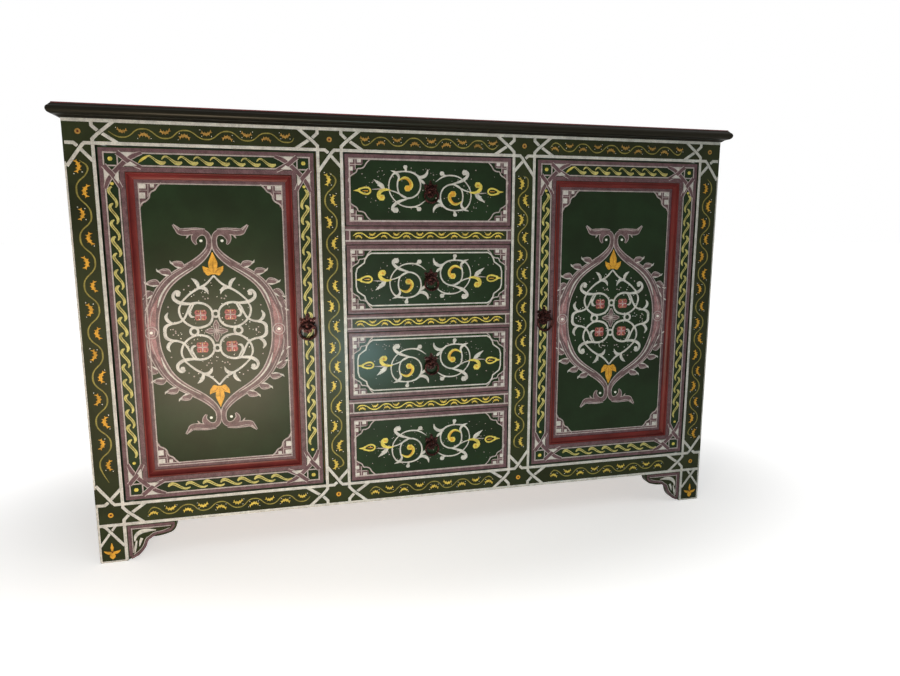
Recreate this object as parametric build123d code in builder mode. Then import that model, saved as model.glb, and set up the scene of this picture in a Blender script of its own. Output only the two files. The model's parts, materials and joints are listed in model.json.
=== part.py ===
from build123d import *

import os

# A painted Moroccan sideboard: two framed doors with a bank of four drawers between them.
# Millimetres. X runs to the viewer's right, the front faces -Y and Z is up. The origin is the middle
# of the underside of the whole cabinet, its overhanging top included.

# ---------------------------------------------------------------- driving dimensions

# overall
carcass_width = 1500.0
carcass_depth = 450.0
height = 978.0

# top board and the moulded edge that it has at the front and the two ends
top_thickness = 28.0
top_overhang = 20.5
edge_foot = 2.5          # how far the moulding stands out where it meets the carcass
edge_cove_out = 13.0     # end of the hollow below the nose, outwards
edge_cove_up = 5.0       # and upwards from the underside
edge_nose_up = 13.0      # height of the nose's tip above the underside
edge_nose_top = 21.5     # height where the nose turns in to the upper slope
edge_nose_in = 4.5       # how far that point is inside the nose's tip
edge_rim_in = 11.5       # width of the slope from the nose's tip to the upper rim
edge_hollow = 0.9        # depth of the hollow below the nose, inwards and upwards
edge_crown = 0.8         # how far the upper slope bulges

# front frame
frame_thickness = 25.0
post_width = 58.0
post_depth = 45.0
inner_post_centre = 225.5
top_rail_height = 51.0
bottom_rail_height = 54.0
floor_gap = 84.0         # floor to the underside of the rails
foot_chamfer = 1.5
divider_height = 38.0
drawer_count = 4

# rear and side frame
rear_post_size = 45.0
side_rail_thickness = 25.0
side_rail_height = 60.0
side_panel_thickness = 8.0
rear_rail_thickness = 20.0
rear_rail_height = 50.0
back_thickness = 6.0
back_rebate = 15.0

# boards inside
partition_thickness = 18.0
bottom_thickness = 16.0
bottom_drop = 16.0       # top of the bottom board below the top edge of the bottom rail
shelf_thickness = 16.0
shelf_setback = 60.0
shelf_level = 520.0
shelf_back_gap = 1.0
cleat_height = 18.0
outer_cleat_width = 12.0

# joints in the wood
tenon_length = 25.0
side_tenon_length = 18.0
stub_tenon_length = 12.0
tenon_thickness = 9.0
tenon_shoulder = 8.0
joint_gap = 0.1          # room for glue, each side
groove_depth = 8.0
board_groove_depth = 6.0

# foot brackets, and the turns of their lower edge as (share of the length, back from the tip; share of
# the gap under the rail, down from it)
bracket_length = 105.0
bracket_thickness = 20.0
bracket_tip = (0.0, 0.06)
bracket_lobe_side = (0.03, 0.2)
bracket_lobe_foot = (0.17, 0.32)
bracket_cusp_run = (0.34, 0.37)
bracket_cusp = (0.52, 0.38)
bracket_cusp_turn = (0.6, 0.45)
bracket_lower_top = (0.65, 0.57)
bracket_lower_side = (0.71, 0.76)
bracket_lower_foot = (0.82, 0.89)
bracket_toe = (0.98, 0.95)

# doors
door_hinge_gap = 2.0
door_free_gap = 3.5
door_end_gap = 2.0
stop_gap = 0.3
door_frame_width = 50.0
door_tenon_length = 28.0
door_tenon_thickness = 8.0
panel_recess = 10.0
panel_thickness = 10.0
moulding_width = 14.0
moulding_proud = 2.0
moulding_bead = 3.5
moulding_bead_height = 1.2
moulding_hollow = 2.0    # depth of the hollow, inwards and down
moulding_lip = 2.5
heel_round = 3.0
door_stop_width = 26.0
door_stop_thickness = 12.0
door_stop_cover = 12.0   # how much of the stop shows in the opening

# door pivots
pivot_radius = 3.0
pivot_from_edge = 13.0
pivot_from_face = 7.0
pivot_in_rail = 12.0
pivot_in_door = 12.0
pivot_collar_radius = 6.0
bush_radius = 5.0
bush_length = 14.0
running_gap = 0.05
collar_gap = 0.3

# drawers
drawer_gap = 2.0
drawer_front_thickness = 22.0
drawer_front_round = 1.0
drawer_back_gap = 16.0   # from the drawers' backs to the rear rails
drawer_side_thickness = 14.0
drawer_side_drop = 6.0   # top of the sides below the top of the front
drawer_back_thickness = 12.0
drawer_bottom_thickness = 6.0
drawer_bottom_up = 10.0
drawer_groove_depth = 6.0
tail_length = 14.0
tail_count = 4
tail_root = 18.0
tail_flare = 3.0         # how much wider a tail is on each side at its end
runner_width = 18.0
runner_gap = 0.3
stop_block_length = 12.0
stop_block_height = 20.0

# drop-ring pulls, one casting in two sizes
pull_plate_thickness = 2.8
pull_rim_thickness = 1.6
pull_rim_width = 0.9
pull_lobes = 8
pull_boss_height = 3.5
pull_boss_share = 0.72   # the boss's radius as a share of the plate's
pull_boss_dome = (0.62, 0.78)  # a point of the dome, as shares of the boss's radius and height
pull_crest_share = 1.25  # the crest's radius as a share of a lobe's
pull_crest_up = 0.6      # how far the crest and the lower finial stand past the plate, as shares of
pull_finial_down = 0.5   # a lobe's radius
pull_crown_up = 0.93     # height of the crown's band above the middle, as a share of the plate's radius
pull_crown_share = 0.9   # half the band's height, as a share of a lobe's radius
pull_crown_tip_up = 0.6  # how far its tips stand above the band's middle line, as a share of that
pull_stand_off = 10.0    # ring's plane in front of the wood
pull_eye_width = 5.0
pull_eye_wall = 2.6
pull_eye_gap = 0.5
pull_eye_reach = 20.0    # the hollow for the ring runs on across the boss
pull_stud_radius = 2.5
pull_stud_past = 6.0
door_pull_in = 26.5      # from the door's free edge

door_pull = {
    "plate": 13.5,
    "lobe": 4.6,
    "crown": 18.5,
    "crest": 24.0,
    "finial": 3.4,
    "ring": 18.0,
    "wire": 2.9,
    "eye_up": 5.0,
}
drawer_pull = {
    "plate": 11.5,
    "lobe": 4.0,
    "crown": 15.8,
    "crest": 20.5,
    "finial": 3.0,
    "ring": 15.5,
    "wire": 2.5,
    "eye_up": 4.5,
}

# ---------------------------------------------------------------- places that follow from them

front = -(carcass_depth - top_overhang) / 2
back = front + carcass_depth
side = carcass_width / 2
carcass_top = height - top_thickness

post_in = side - post_width
inner_post_in = inner_post_centre - post_width / 2
inner_post_out = inner_post_centre + post_width / 2
frame_back = front + frame_thickness
rail_top = floor_gap + bottom_rail_height
opening_top = carcass_top - top_rail_height
opening_height = opening_top - rail_top

panel_back = back - back_thickness
rear_rail_front = panel_back - rear_rail_thickness
rear_post_front = back - rear_post_size
rear_post_in = side - rear_post_size
side_rail_in = side - side_rail_thickness
bottom_top = rail_top - bottom_drop
bottom_under = bottom_top - bottom_thickness
partition_out = inner_post_in + partition_thickness

drawer_opening = (opening_height - (drawer_count - 1) * divider_height) / drawer_count
drawer_pitch = drawer_opening + divider_height
drawer_front_height = drawer_opening - 2 * drawer_gap
drawer_half = inner_post_in - drawer_gap
drawer_length = rear_rail_front - drawer_back_gap - front

door_thickness = frame_thickness - stop_gap
door_low = rail_top + door_end_gap
door_high = opening_top - door_end_gap
door_out = post_in - door_hinge_gap
door_in = inner_post_out + door_free_gap
pivot_x = door_out - pivot_from_edge
pivot_y = front + pivot_from_face
panel_face = front + panel_recess
door_pull_x = door_in + door_pull_in
door_pull_z = (door_low + door_high) / 2

os.makedirs("parts", exist_ok=True)


# ---------------------------------------------------------------- helpers


def save(piece, name):
    """Labels a finished piece and writes it to a file of its own."""
    piece.part.label = name
    export_step(piece.part, f"parts/{name}.step")


def board(x, y, z, mode=Mode.ADD):
    """A straight piece of wood, or a straight cut, between two x, two y and two z."""
    with Locations(((x[0] + x[1]) / 2, (y[0] + y[1]) / 2, (z[0] + z[1]) / 2)):
        Box(x[1] - x[0], y[1] - y[0], z[1] - z[0], mode=mode)


def on(hand, near, far):
    """The x range from near to far on the left (hand -1) or right (hand 1) of the middle."""
    return tuple(sorted((hand * near, hand * far)))


def middle(low, high, thickness):
    """A range of that thickness in the middle of another one."""
    return ((low + high - thickness) / 2, (low + high + thickness) / 2)


def wider(span, gap):
    """The range of a mortise or groove round the range of what goes in it."""
    return (span[0] - gap, span[1] + gap)


def shouldered(low, high):
    """The part of a rail's height, or of a post's width, that its tenon has."""
    return (low + tenon_shoulder, high - tenon_shoulder)


frame_tenon_y = middle(front, frame_back, tenon_thickness)
side_tenon_x = middle(side_rail_in, side, tenon_thickness)
side_panel_x = middle(side_rail_in, side, side_panel_thickness)
rear_tenon_y = middle(rear_rail_front, panel_back, tenon_thickness)
top_rail_z = (opening_top, carcass_top)
bottom_rail_z = (floor_gap, rail_top)
side_rail_z = ((floor_gap, floor_gap + side_rail_height), (carcass_top - side_rail_height, carcass_top))
rear_rail_z = ((floor_gap, floor_gap + rear_rail_height), (carcass_top - rear_rail_height, carcass_top))
bottom_z = (bottom_under, bottom_top)

# ---------------------------------------------------------------- front frame

# Corner posts run from the top board down to the floor, and are the feet.
for hand, name in ((-1, "left_front_post"), (1, "right_front_post")):
    with BuildPart() as front_post:
        board(on(hand, post_in, side), (front, front + post_depth), (0, carcass_top))
        foot_edges = front_post.faces().sort_by(Axis.Z)[0].edges()
        chamfer(foot_edges, foot_chamfer)
        for rail_z in (top_rail_z, bottom_rail_z):
            board(
                on(hand, post_in, post_in + tenon_length + joint_gap),
                wider(frame_tenon_y, joint_gap),
                wider(shouldered(*rail_z), joint_gap),
                Mode.SUBTRACT,
            )
        for rail_z in side_rail_z:
            board(
                on(hand, side_tenon_x[0] - joint_gap, side_tenon_x[1] + joint_gap),
                (front + post_depth - side_tenon_length - joint_gap, front + post_depth),
                wider(shouldered(*rail_z), joint_gap),
                Mode.SUBTRACT,
            )
        board(
            on(hand, side_panel_x[0] - joint_gap, side_panel_x[1] + joint_gap),
            (front + post_depth - groove_depth - joint_gap, front + post_depth),
            (side_rail_z[0][1] - groove_depth, side_rail_z[1][0] + groove_depth),
            Mode.SUBTRACT,
        )
    save(front_post, name)

# Rails cross the whole front between the corner posts. Each takes the stub tenons of the inner posts
# and a pivot pin of each door, and the bottom rail holds the front edge of the bottom board.
for name, rail_z, seam, into in (
    ("top_rail", top_rail_z, opening_top, 1),
    ("bottom_rail", bottom_rail_z, rail_top, -1),
):
    with BuildPart() as rail:
        board((-post_in, post_in), (front, frame_back), rail_z)
        board(
            (-post_in - tenon_length, post_in + tenon_length),
            frame_tenon_y,
            shouldered(*rail_z),
        )
        for hand in (-1, 1):
            mortise_x = wider(shouldered(inner_post_in, inner_post_out), joint_gap)
            board(
                on(hand, *mortise_x),
                wider(frame_tenon_y, joint_gap),
                tuple(sorted((seam, seam + into * (stub_tenon_length + joint_gap)))),
                Mode.SUBTRACT,
            )
            with Locations((hand * pivot_x, pivot_y, seam + into * pivot_in_rail / 2)):
                Cylinder(pivot_radius + running_gap, pivot_in_rail, mode=Mode.SUBTRACT)
        if into < 0:
            board(
                (-post_in, post_in),
                (frame_back - board_groove_depth - joint_gap, frame_back),
                wider(bottom_z, joint_gap),
                Mode.SUBTRACT,
            )
    save(rail, name)

with BuildPart() as inner_posts:
    for hand in (-1, 1):
        board(on(hand, inner_post_in, inner_post_out), (front, frame_back), (rail_top, opening_top))
        board(
            on(hand, *shouldered(inner_post_in, inner_post_out)),
            frame_tenon_y,
            (rail_top - stub_tenon_length, opening_top + stub_tenon_length),
        )
        for row in range(1, drawer_count):
            low = rail_top + row * drawer_pitch - divider_height
            board(
                on(hand, inner_post_in, inner_post_in + stub_tenon_length + joint_gap),
                wider(frame_tenon_y, joint_gap),
                wider(shouldered(low, low + divider_height), joint_gap),
                Mode.SUBTRACT,
            )
save(inner_posts, "inner_posts")

with BuildPart() as drawer_dividers:
    for row in range(1, drawer_count):
        low = rail_top + row * drawer_pitch - divider_height
        board((-inner_post_in, inner_post_in), (front, frame_back), (low, low + divider_height))
        board(
            (-inner_post_in - stub_tenon_length, inner_post_in + stub_tenon_length),
            frame_tenon_y,
            shouldered(low, low + divider_height),
        )
save(drawer_dividers, "drawer_dividers")

# Each bracket fills the corner between a front foot and the bottom rail. Its lower edge is sawn to two
# round lobes with a cusp between them.
for hand, name in ((-1, "left_foot_bracket"), (1, "right_foot_bracket")):

    def turn(point):
        """The sketch point of one of the edge's turns, on this side of the cabinet."""
        return (hand * (post_in - bracket_length * (1 - point[0])), floor_gap * (1 - point[1]))

    with BuildPart() as bracket:
        with BuildSketch(Plane.XZ.offset(-(front + bracket_thickness))):
            with BuildLine():
                Polyline(
                    turn((1, bracket_toe[1])),
                    turn((1, 0)),
                    turn((0, 0)),
                    turn(bracket_tip),
                )
                ThreePointArc(turn(bracket_tip), turn(bracket_lobe_side), turn(bracket_lobe_foot))
                ThreePointArc(turn(bracket_lobe_foot), turn(bracket_cusp_run), turn(bracket_cusp))
                ThreePointArc(turn(bracket_cusp), turn(bracket_cusp_turn), turn(bracket_lower_top))
                ThreePointArc(turn(bracket_lower_top), turn(bracket_lower_side), turn(bracket_lower_foot))
                Polyline(
                    turn(bracket_lower_foot),
                    turn(bracket_toe),
                    turn((1, bracket_toe[1])),
                )
            make_face()
        extrude(amount=bracket_thickness)
    save(bracket, name)

# ---------------------------------------------------------------- sides and back

with BuildPart() as rear_posts:
    for hand in (-1, 1):
        board(on(hand, rear_post_in, side), (rear_post_front, back), (0, carcass_top))
        board(
            on(hand, rear_post_in, rear_post_in + back_rebate),
            (panel_back, back),
            (floor_gap, carcass_top),
            Mode.SUBTRACT,
        )
        for rail_z in side_rail_z:
            board(
                on(hand, side_tenon_x[0] - joint_gap, side_tenon_x[1] + joint_gap),
                (rear_post_front, rear_post_front + side_tenon_length + joint_gap),
                wider(shouldered(*rail_z), joint_gap),
                Mode.SUBTRACT,
            )
        for rail_z in rear_rail_z:
            board(
                on(hand, rear_post_in, rear_post_in + stub_tenon_length + joint_gap),
                wider(rear_tenon_y, joint_gap),
                wider(shouldered(*rail_z), joint_gap),
                Mode.SUBTRACT,
            )
        board(
            on(hand, side_panel_x[0] - joint_gap, side_panel_x[1] + joint_gap),
            (rear_post_front, rear_post_front + groove_depth + joint_gap),
            (side_rail_z[0][1] - groove_depth, side_rail_z[1][0] + groove_depth),
            Mode.SUBTRACT,
        )
save(rear_posts, "rear_posts")

with BuildPart() as side_rails:
    for hand in (-1, 1):
        for rail_z, panel_edge, into in (
            (side_rail_z[0], side_rail_z[0][1], -1),
            (side_rail_z[1], side_rail_z[1][0], 1),
        ):
            board(on(hand, side_rail_in, side), (front + post_depth, rear_post_front), rail_z)
            board(
                on(hand, *side_tenon_x),
                (front + post_depth - side_tenon_length, rear_post_front + side_tenon_length),
                shouldered(*rail_z),
            )
            board(
                on(hand, side_panel_x[0] - joint_gap, side_panel_x[1] + joint_gap),
                (front + post_depth, rear_post_front),
                tuple(sorted((panel_edge, panel_edge + into * (groove_depth + joint_gap)))),
                Mode.SUBTRACT,
            )
save(side_rails, "side_rails")

with BuildPart() as side_panels:
    for hand in (-1, 1):
        board(
            on(hand, *side_panel_x),
            (front + post_depth - groove_depth, rear_post_front + groove_depth),
            (side_rail_z[0][1] - groove_depth, side_rail_z[1][0] + groove_depth),
        )
save(side_panels, "side_panels")

with BuildPart() as rear_rails:
    for rail_z in rear_rail_z:
        board((-rear_post_in, rear_post_in), (rear_rail_front, panel_back), rail_z)
        board(
            (-rear_post_in - stub_tenon_length, rear_post_in + stub_tenon_length),
            rear_tenon_y,
            shouldered(*rail_z),
        )
    board(
        (-rear_post_in, rear_post_in),
        (rear_rail_front, rear_rail_front + board_groove_depth + joint_gap),
        wider(bottom_z, joint_gap),
        Mode.SUBTRACT,
    )
save(rear_rails, "rear_rails")

with BuildPart() as back_panel:
    back_panel_half = rear_post_in + back_rebate - joint_gap
    board((-back_panel_half, back_panel_half), (panel_back, back), (floor_gap, carcass_top))
save(back_panel, "back_panel")

# ---------------------------------------------------------------- boards inside

with BuildPart() as bottom_board:
    board(
        (-side_rail_in, side_rail_in),
        (frame_back, rear_rail_front),
        bottom_z,
    )
    board(
        (-post_in + joint_gap, post_in - joint_gap),
        (frame_back - board_groove_depth, rear_rail_front + board_groove_depth),
        bottom_z,
    )
    for hand in (-1, 1):
        board(
            on(hand, post_in - joint_gap, side),
            (front, front + post_depth + joint_gap),
            bottom_z,
            Mode.SUBTRACT,
        )
        board(
            on(hand, rear_post_in - joint_gap, side),
            (rear_post_front - joint_gap, back),
            bottom_z,
            Mode.SUBTRACT,
        )
save(bottom_board, "bottom_board")

with BuildPart() as partitions:
    for hand in (-1, 1):
        board(on(hand, inner_post_in, partition_out), (frame_back, panel_back), (bottom_top, carcass_top))
        for rail_z in rear_rail_z:
            board(
                on(hand, inner_post_in, partition_out),
                (rear_rail_front - joint_gap, panel_back),
                wider(rail_z, joint_gap),
                Mode.SUBTRACT,
            )
save(partitions, "partitions")

# The top board is a flat board whose front and end edges have the same moulding. Where the two
# mouldings meet they make a clean mitre.


def edge_points(face, outwards):
    """Turns (distance out from the carcass, height above the underside) into a sketch point."""

    def place(out, up):
        return (outwards * (face + out), carcass_top + up)

    return place


def edge_profile(place, inner):
    """Draws the moulded edge from the inner end of the underside round to the inner end of the top."""
    tip = top_overhang
    slope = ((tip - edge_nose_in) + (tip - edge_rim_in)) / 2
    Line(place(inner, 0), place(edge_foot, 0))
    ThreePointArc(
        place(edge_foot, 0),
        place((edge_foot + edge_cove_out) / 2 - edge_hollow, edge_cove_up / 2 + edge_hollow),
        place(edge_cove_out, edge_cove_up),
    )
    ThreePointArc(
        place(edge_cove_out, edge_cove_up), place(tip, edge_nose_up), place(tip - edge_nose_in, edge_nose_top)
    )
    ThreePointArc(
        place(tip - edge_nose_in, edge_nose_top),
        place(slope, (edge_nose_top + top_thickness) / 2 + edge_crown),
        place(tip - edge_rim_in, top_thickness),
    )
    Line(place(tip - edge_rim_in, top_thickness), place(inner, top_thickness))


with BuildPart() as top_board:
    with BuildSketch(Plane.XZ.offset(-(front - top_overhang))) as end_section:
        with BuildLine():
            edge_profile(edge_points(side, -1), -side)
            edge_profile(edge_points(side, 1), -side)
        make_face()
    extrude(amount=-(carcass_depth + top_overhang))
    with BuildSketch(Plane.YZ.offset(-side - top_overhang)) as front_section:
        with BuildLine():
            edge_profile(edge_points(-front, -1), front - back)
            Line((back, carcass_top), (back, height))
        make_face()
    extrude(amount=carcass_width + 2 * top_overhang, mode=Mode.INTERSECT)
save(top_board, "top_board")

shelf_out = post_in + outer_cleat_width
shelf_under = shelf_level - shelf_thickness
cleat_z = (shelf_under - cleat_height, shelf_under)

with BuildPart() as shelves:
    for hand in (-1, 1):
        board(
            on(hand, partition_out + joint_gap, shelf_out),
            (front + shelf_setback, panel_back - shelf_back_gap),
            (shelf_under, shelf_level),
        )
save(shelves, "shelves")

with BuildPart() as shelf_cleats:
    for hand in (-1, 1):
        board(
            on(hand, partition_out, partition_out + cleat_height),
            (front + shelf_setback, panel_back - shelf_back_gap),
            cleat_z,
        )
        board(on(hand, post_in, shelf_out), (front + post_depth, rear_post_front), cleat_z)
save(shelf_cleats, "shelf_cleats")

# Runners are as deep as the dividers, so each carries the drawer above it and keeps the one below from
# tipping. The pair under the top board only does the second.
runner_up = drawer_gap - runner_gap
runner_y = (frame_back, rear_rail_front)

with BuildPart() as drawer_runners:
    for hand in (-1, 1):
        runner_x = on(hand, inner_post_in - runner_width, inner_post_in)
        for row in range(drawer_count):
            low = rail_top + row * drawer_pitch
            under = max(low - divider_height, bottom_top)
            board(runner_x, runner_y, (under, low + runner_up))
        board(runner_x, runner_y, (opening_top, opening_top + divider_height))
save(drawer_runners, "drawer_runners")

with BuildPart() as drawer_stops:
    for hand in (-1, 1):
        for row in range(drawer_count):
            low = rail_top + row * drawer_pitch + runner_up
            stop_front = front + drawer_length + stop_gap
            board(
                on(hand, inner_post_in - runner_width, inner_post_in),
                (stop_front, stop_front + stop_block_length),
                (low, low + stop_block_height),
            )
save(drawer_stops, "drawer_stops")

with BuildPart() as door_stops:
    for hand in (-1, 1):
        board(
            on(hand, inner_post_out + door_stop_cover - door_stop_width, inner_post_out + door_stop_cover),
            (frame_back, frame_back + door_stop_thickness),
            (door_low, door_high),
        )
save(door_stops, "door_stops")

# A pin stands out of each rail and carries or guides a door. Its collar keeps the door off the rail.
with BuildPart() as door_pivots:
    for hand in (-1, 1):
        for seam, into in ((opening_top, 1), (rail_top, -1)):
            pin_length = pivot_in_rail + door_end_gap + pivot_in_door
            with Locations((hand * pivot_x, pivot_y, seam + into * (pivot_in_rail - pin_length / 2))):
                Cylinder(pivot_radius, pin_length)
            collar = door_end_gap - collar_gap
            with Locations((hand * pivot_x, pivot_y, seam - into * collar / 2)):
                Cylinder(pivot_collar_radius, collar)
save(door_pivots, "door_pivots")


# ---------------------------------------------------------------- drop-ring pulls


def pull_plate(x, z, size, through):
    """The cast plate: a lobed disc under a crown, a boss with the ring's eye, and a stud at the back."""
    eye_y = front - pull_stand_off
    eye_z = z + size["eye_up"]
    eye_hole = size["wire"] + pull_eye_gap
    boss_radius = size["plate"] * pull_boss_share
    plate_front = front - pull_plate_thickness
    boss_front = plate_front - pull_boss_height
    foot_z = z - size["plate"] - size["lobe"] * pull_finial_down
    crown_z = z + size["plate"] * pull_crown_up
    crown_half = size["lobe"] * pull_crown_share
    tip_x = size["crown"] - size["finial"]
    tip_z = crown_z + crown_half * pull_crown_tip_up
    with BuildPart() as plate:
        # two steps, the front one smaller, give the casting its rim
        for inset, thickness in ((0, pull_rim_thickness), (pull_rim_width, pull_plate_thickness)):
            with BuildSketch(Plane.XZ.offset(-front)):
                with Locations((x, z)):
                    Circle(size["plate"])
                    with PolarLocations(size["plate"], pull_lobes, start_angle=180 / pull_lobes):
                        Circle(size["lobe"] - inset)
                with Locations((x, z + size["plate"] + size["lobe"] * pull_crest_up)):
                    Circle(size["lobe"] * pull_crest_share - inset)
                with Locations((x, crown_z)):
                    Ellipse(size["crown"] - inset, crown_half - inset)
                finials = ((x, z + size["crest"]), (x, foot_z), (x - tip_x, tip_z), (x + tip_x, tip_z))
                with Locations(*finials):
                    Circle(size["finial"] - inset)
            extrude(amount=thickness)
        # low domed boss, wider than it is high
        with BuildSketch(Plane.XY.offset(z)):
            with BuildLine():
                Polyline(
                    (x, boss_front),
                    (x, front),
                    (x + boss_radius, front),
                    (x + boss_radius, plate_front),
                )
                ThreePointArc(
                    (x + boss_radius, plate_front),
                    (
                        x + boss_radius * pull_boss_dome[0],
                        plate_front - pull_boss_height * pull_boss_dome[1],
                    ),
                    (x, boss_front),
                )
            make_face()
        revolve(axis=Axis((x, front, z), (0, 1, 0)))
        # the eye is a flat loop across the cabinet's width, rooted in the boss
        with BuildSketch(Plane.YZ.offset(x - pull_eye_width / 2)):
            with Locations((eye_y, eye_z)):
                Circle(eye_hole + pull_eye_wall)
            with Locations(((eye_y + front) / 2, eye_z)):
                Rectangle(pull_stand_off, 2 * eye_hole)
        extrude(amount=pull_eye_width)
        with Locations(Location((x, eye_y, eye_z), (0, 90, 0))):
            Cylinder(eye_hole, pull_eye_reach, mode=Mode.SUBTRACT)
        with BuildSketch(Plane.XZ.offset(-(front + through + pull_stud_past))):
            with Locations((x, z)):
                Circle(pull_stud_radius)
        extrude(amount=through + pull_stud_past + pull_plate_thickness)
    return plate


def pull_ring(x, z, size):
    """The ring hangs from the eye, in a plane that faces the front."""
    with BuildPart() as ring:
        with Locations(Location((x, front - pull_stand_off, z + size["eye_up"] - size["ring"]), (90, 0, 0))):
            Torus(size["ring"], size["wire"])
    return ring


mould_top = panel_recess + moulding_proud
bead_low = mould_top - moulding_bead_height


def moulding_length(plane, place, run, corners):
    """One mitred length of the door moulding. place turns (distance in from the frame, height above the
    panel) into a point of the section's plane, and corners are the length's outline seen from the front."""
    with BuildPart() as length:
        with BuildSketch(plane):
            with BuildLine():
                Line(place(0, 0), place(0, bead_low))
                ThreePointArc(
                    place(0, bead_low),
                    place(moulding_bead / 2, mould_top),
                    place(moulding_bead, bead_low),
                )
                ThreePointArc(
                    place(moulding_bead, bead_low),
                    place(
                        (moulding_bead + moulding_width) / 2 - moulding_hollow,
                        (mould_top + moulding_lip) / 2 - moulding_hollow,
                    ),
                    place(moulding_width, moulding_lip),
                )
                Line(place(moulding_width, moulding_lip), place(moulding_width, 0))
                Line(place(moulding_width, 0), place(0, 0))
            make_face()
        extrude(amount=run)
        with BuildSketch(Plane.XZ.offset(-panel_face)):
            Polygon(*corners, align=None)
        extrude(amount=mould_top, mode=Mode.INTERSECT)
    return length.part


# ---------------------------------------------------------------- doors

for hand, name in ((-1, "left_door"), (1, "right_door")):
    pull_x = hand * door_pull_x
    inner_frame = (door_in + door_frame_width, door_out - door_frame_width)
    door_tenon_y = middle(panel_face, panel_face + panel_thickness, door_tenon_thickness)
    panel_y = (panel_face, panel_face + panel_thickness)
    rails_z = ((door_low, door_low + door_frame_width), (door_high - door_frame_width, door_high))

    with BuildPart() as stiles:
        board(on(hand, inner_frame[1], door_out), (front, front + door_thickness), (door_low, door_high))
        heel = stiles.edges().filter_by(Axis.Z).sort_by(Axis.Y)[:2].sort_by(Axis.X)[-1 if hand > 0 else 0]
        fillet(heel, heel_round)
        board(on(hand, door_in, inner_frame[0]), (front, front + door_thickness), (door_low, door_high))
        for near, far in (
            (inner_frame[1] - joint_gap, inner_frame[1] + door_tenon_length + joint_gap),
            (inner_frame[0] - door_tenon_length - joint_gap, inner_frame[0] + joint_gap),
        ):
            for rail_z in rails_z:
                board(
                    on(hand, near, far),
                    wider(door_tenon_y, joint_gap),
                    wider(shouldered(*rail_z), joint_gap),
                    Mode.SUBTRACT,
                )
        for near, far in (
            (inner_frame[1], inner_frame[1] + groove_depth + joint_gap),
            (inner_frame[0] - groove_depth - joint_gap, inner_frame[0]),
        ):
            board(
                on(hand, near, far),
                wider(panel_y, joint_gap),
                (rails_z[0][1] - groove_depth, rails_z[1][0] + groove_depth),
                Mode.SUBTRACT,
            )
        for end, into in ((door_low, 1), (door_high, -1)):
            with Locations((hand * pivot_x, pivot_y, end + into * bush_length / 2)):
                Cylinder(bush_radius + running_gap, bush_length, mode=Mode.SUBTRACT)
        with Locations(Location((pull_x, front + door_thickness / 2, door_pull_z), (90, 0, 0))):
            Cylinder(pull_stud_radius + joint_gap, door_thickness, mode=Mode.SUBTRACT)
    save(stiles, f"{name}_stiles")

    with BuildPart() as rails:
        for rail_z, panel_edge, into in (
            (rails_z[0], rails_z[0][1], -1),
            (rails_z[1], rails_z[1][0], 1),
        ):
            board(on(hand, *inner_frame), (front, front + door_thickness), rail_z)
            board(
                on(hand, inner_frame[0] - door_tenon_length, inner_frame[1] + door_tenon_length),
                door_tenon_y,
                shouldered(*rail_z),
            )
            board(
                on(hand, *inner_frame),
                wider(panel_y, joint_gap),
                tuple(sorted((panel_edge, panel_edge + into * (groove_depth + joint_gap)))),
                Mode.SUBTRACT,
            )
    save(rails, f"{name}_rails")

    with BuildPart() as panel:
        board(
            on(hand, inner_frame[0] - groove_depth, inner_frame[1] + groove_depth),
            panel_y,
            (rails_z[0][1] - groove_depth, rails_z[1][0] + groove_depth),
        )
        for near in (inner_frame[0] - groove_depth, inner_frame[1]):
            for low in (rails_z[0][1] - groove_depth, rails_z[1][0]):
                board(
                    on(hand, near, near + groove_depth),
                    panel_y,
                    (low, low + groove_depth),
                    Mode.SUBTRACT,
                )
    save(panel, f"{name}_panel")

    # Four mitred lengths: a bead stands proud of the frame, and a hollow runs down to the panel.
    mould_x = on(hand, inner_frame[0] + joint_gap, inner_frame[1] - joint_gap)
    mould_z = (rails_z[0][1] + joint_gap, rails_z[1][0] - joint_gap)
    with BuildPart() as moulding:
        for edge, inwards in ((mould_x[0], 1), (mould_x[1], -1)):
            upright = moulding_length(
                Plane.XY.offset(mould_z[0]),
                lambda u, v, e=edge, s=inwards: (e + s * u, panel_face - v),
                mould_z[1] - mould_z[0],
                (
                    (edge, mould_z[0] + joint_gap),
                    (edge, mould_z[1] - joint_gap),
                    (edge + inwards * moulding_width, mould_z[1] - moulding_width - joint_gap),
                    (edge + inwards * moulding_width, mould_z[0] + moulding_width + joint_gap),
                ),
            )
            add(upright)
        for edge, inwards in ((mould_z[0], 1), (mould_z[1], -1)):
            level = moulding_length(
                Plane.YZ.offset(mould_x[0]),
                lambda u, v, e=edge, s=inwards: (panel_face - v, e + s * u),
                mould_x[1] - mould_x[0],
                (
                    (mould_x[0], edge),
                    (mould_x[1], edge),
                    (mould_x[1] - moulding_width, edge + inwards * moulding_width),
                    (mould_x[0] + moulding_width, edge + inwards * moulding_width),
                ),
            )
            add(level)
    save(moulding, f"{name}_moulding")

    with BuildPart() as bushes:
        for end, into in ((door_low, 1), (door_high, -1)):
            with Locations((hand * pivot_x, pivot_y, end + into * bush_length / 2)):
                Cylinder(bush_radius, bush_length)
                Cylinder(pivot_radius + running_gap, bush_length, mode=Mode.SUBTRACT)
    save(bushes, f"{name}_pivot_bushes")

    save(pull_plate(pull_x, door_pull_z, door_pull, door_thickness), f"{name}_pull_plate")
    save(pull_ring(pull_x, door_pull_z, door_pull), f"{name}_pull_ring")

# ---------------------------------------------------------------- drawers, the top one is drawer_1

side_y = (front + drawer_front_thickness, front + drawer_length)
side_x = (drawer_half - drawer_side_thickness, drawer_half)
drawer_back_y = (side_y[1] - drawer_back_thickness, side_y[1])

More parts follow.
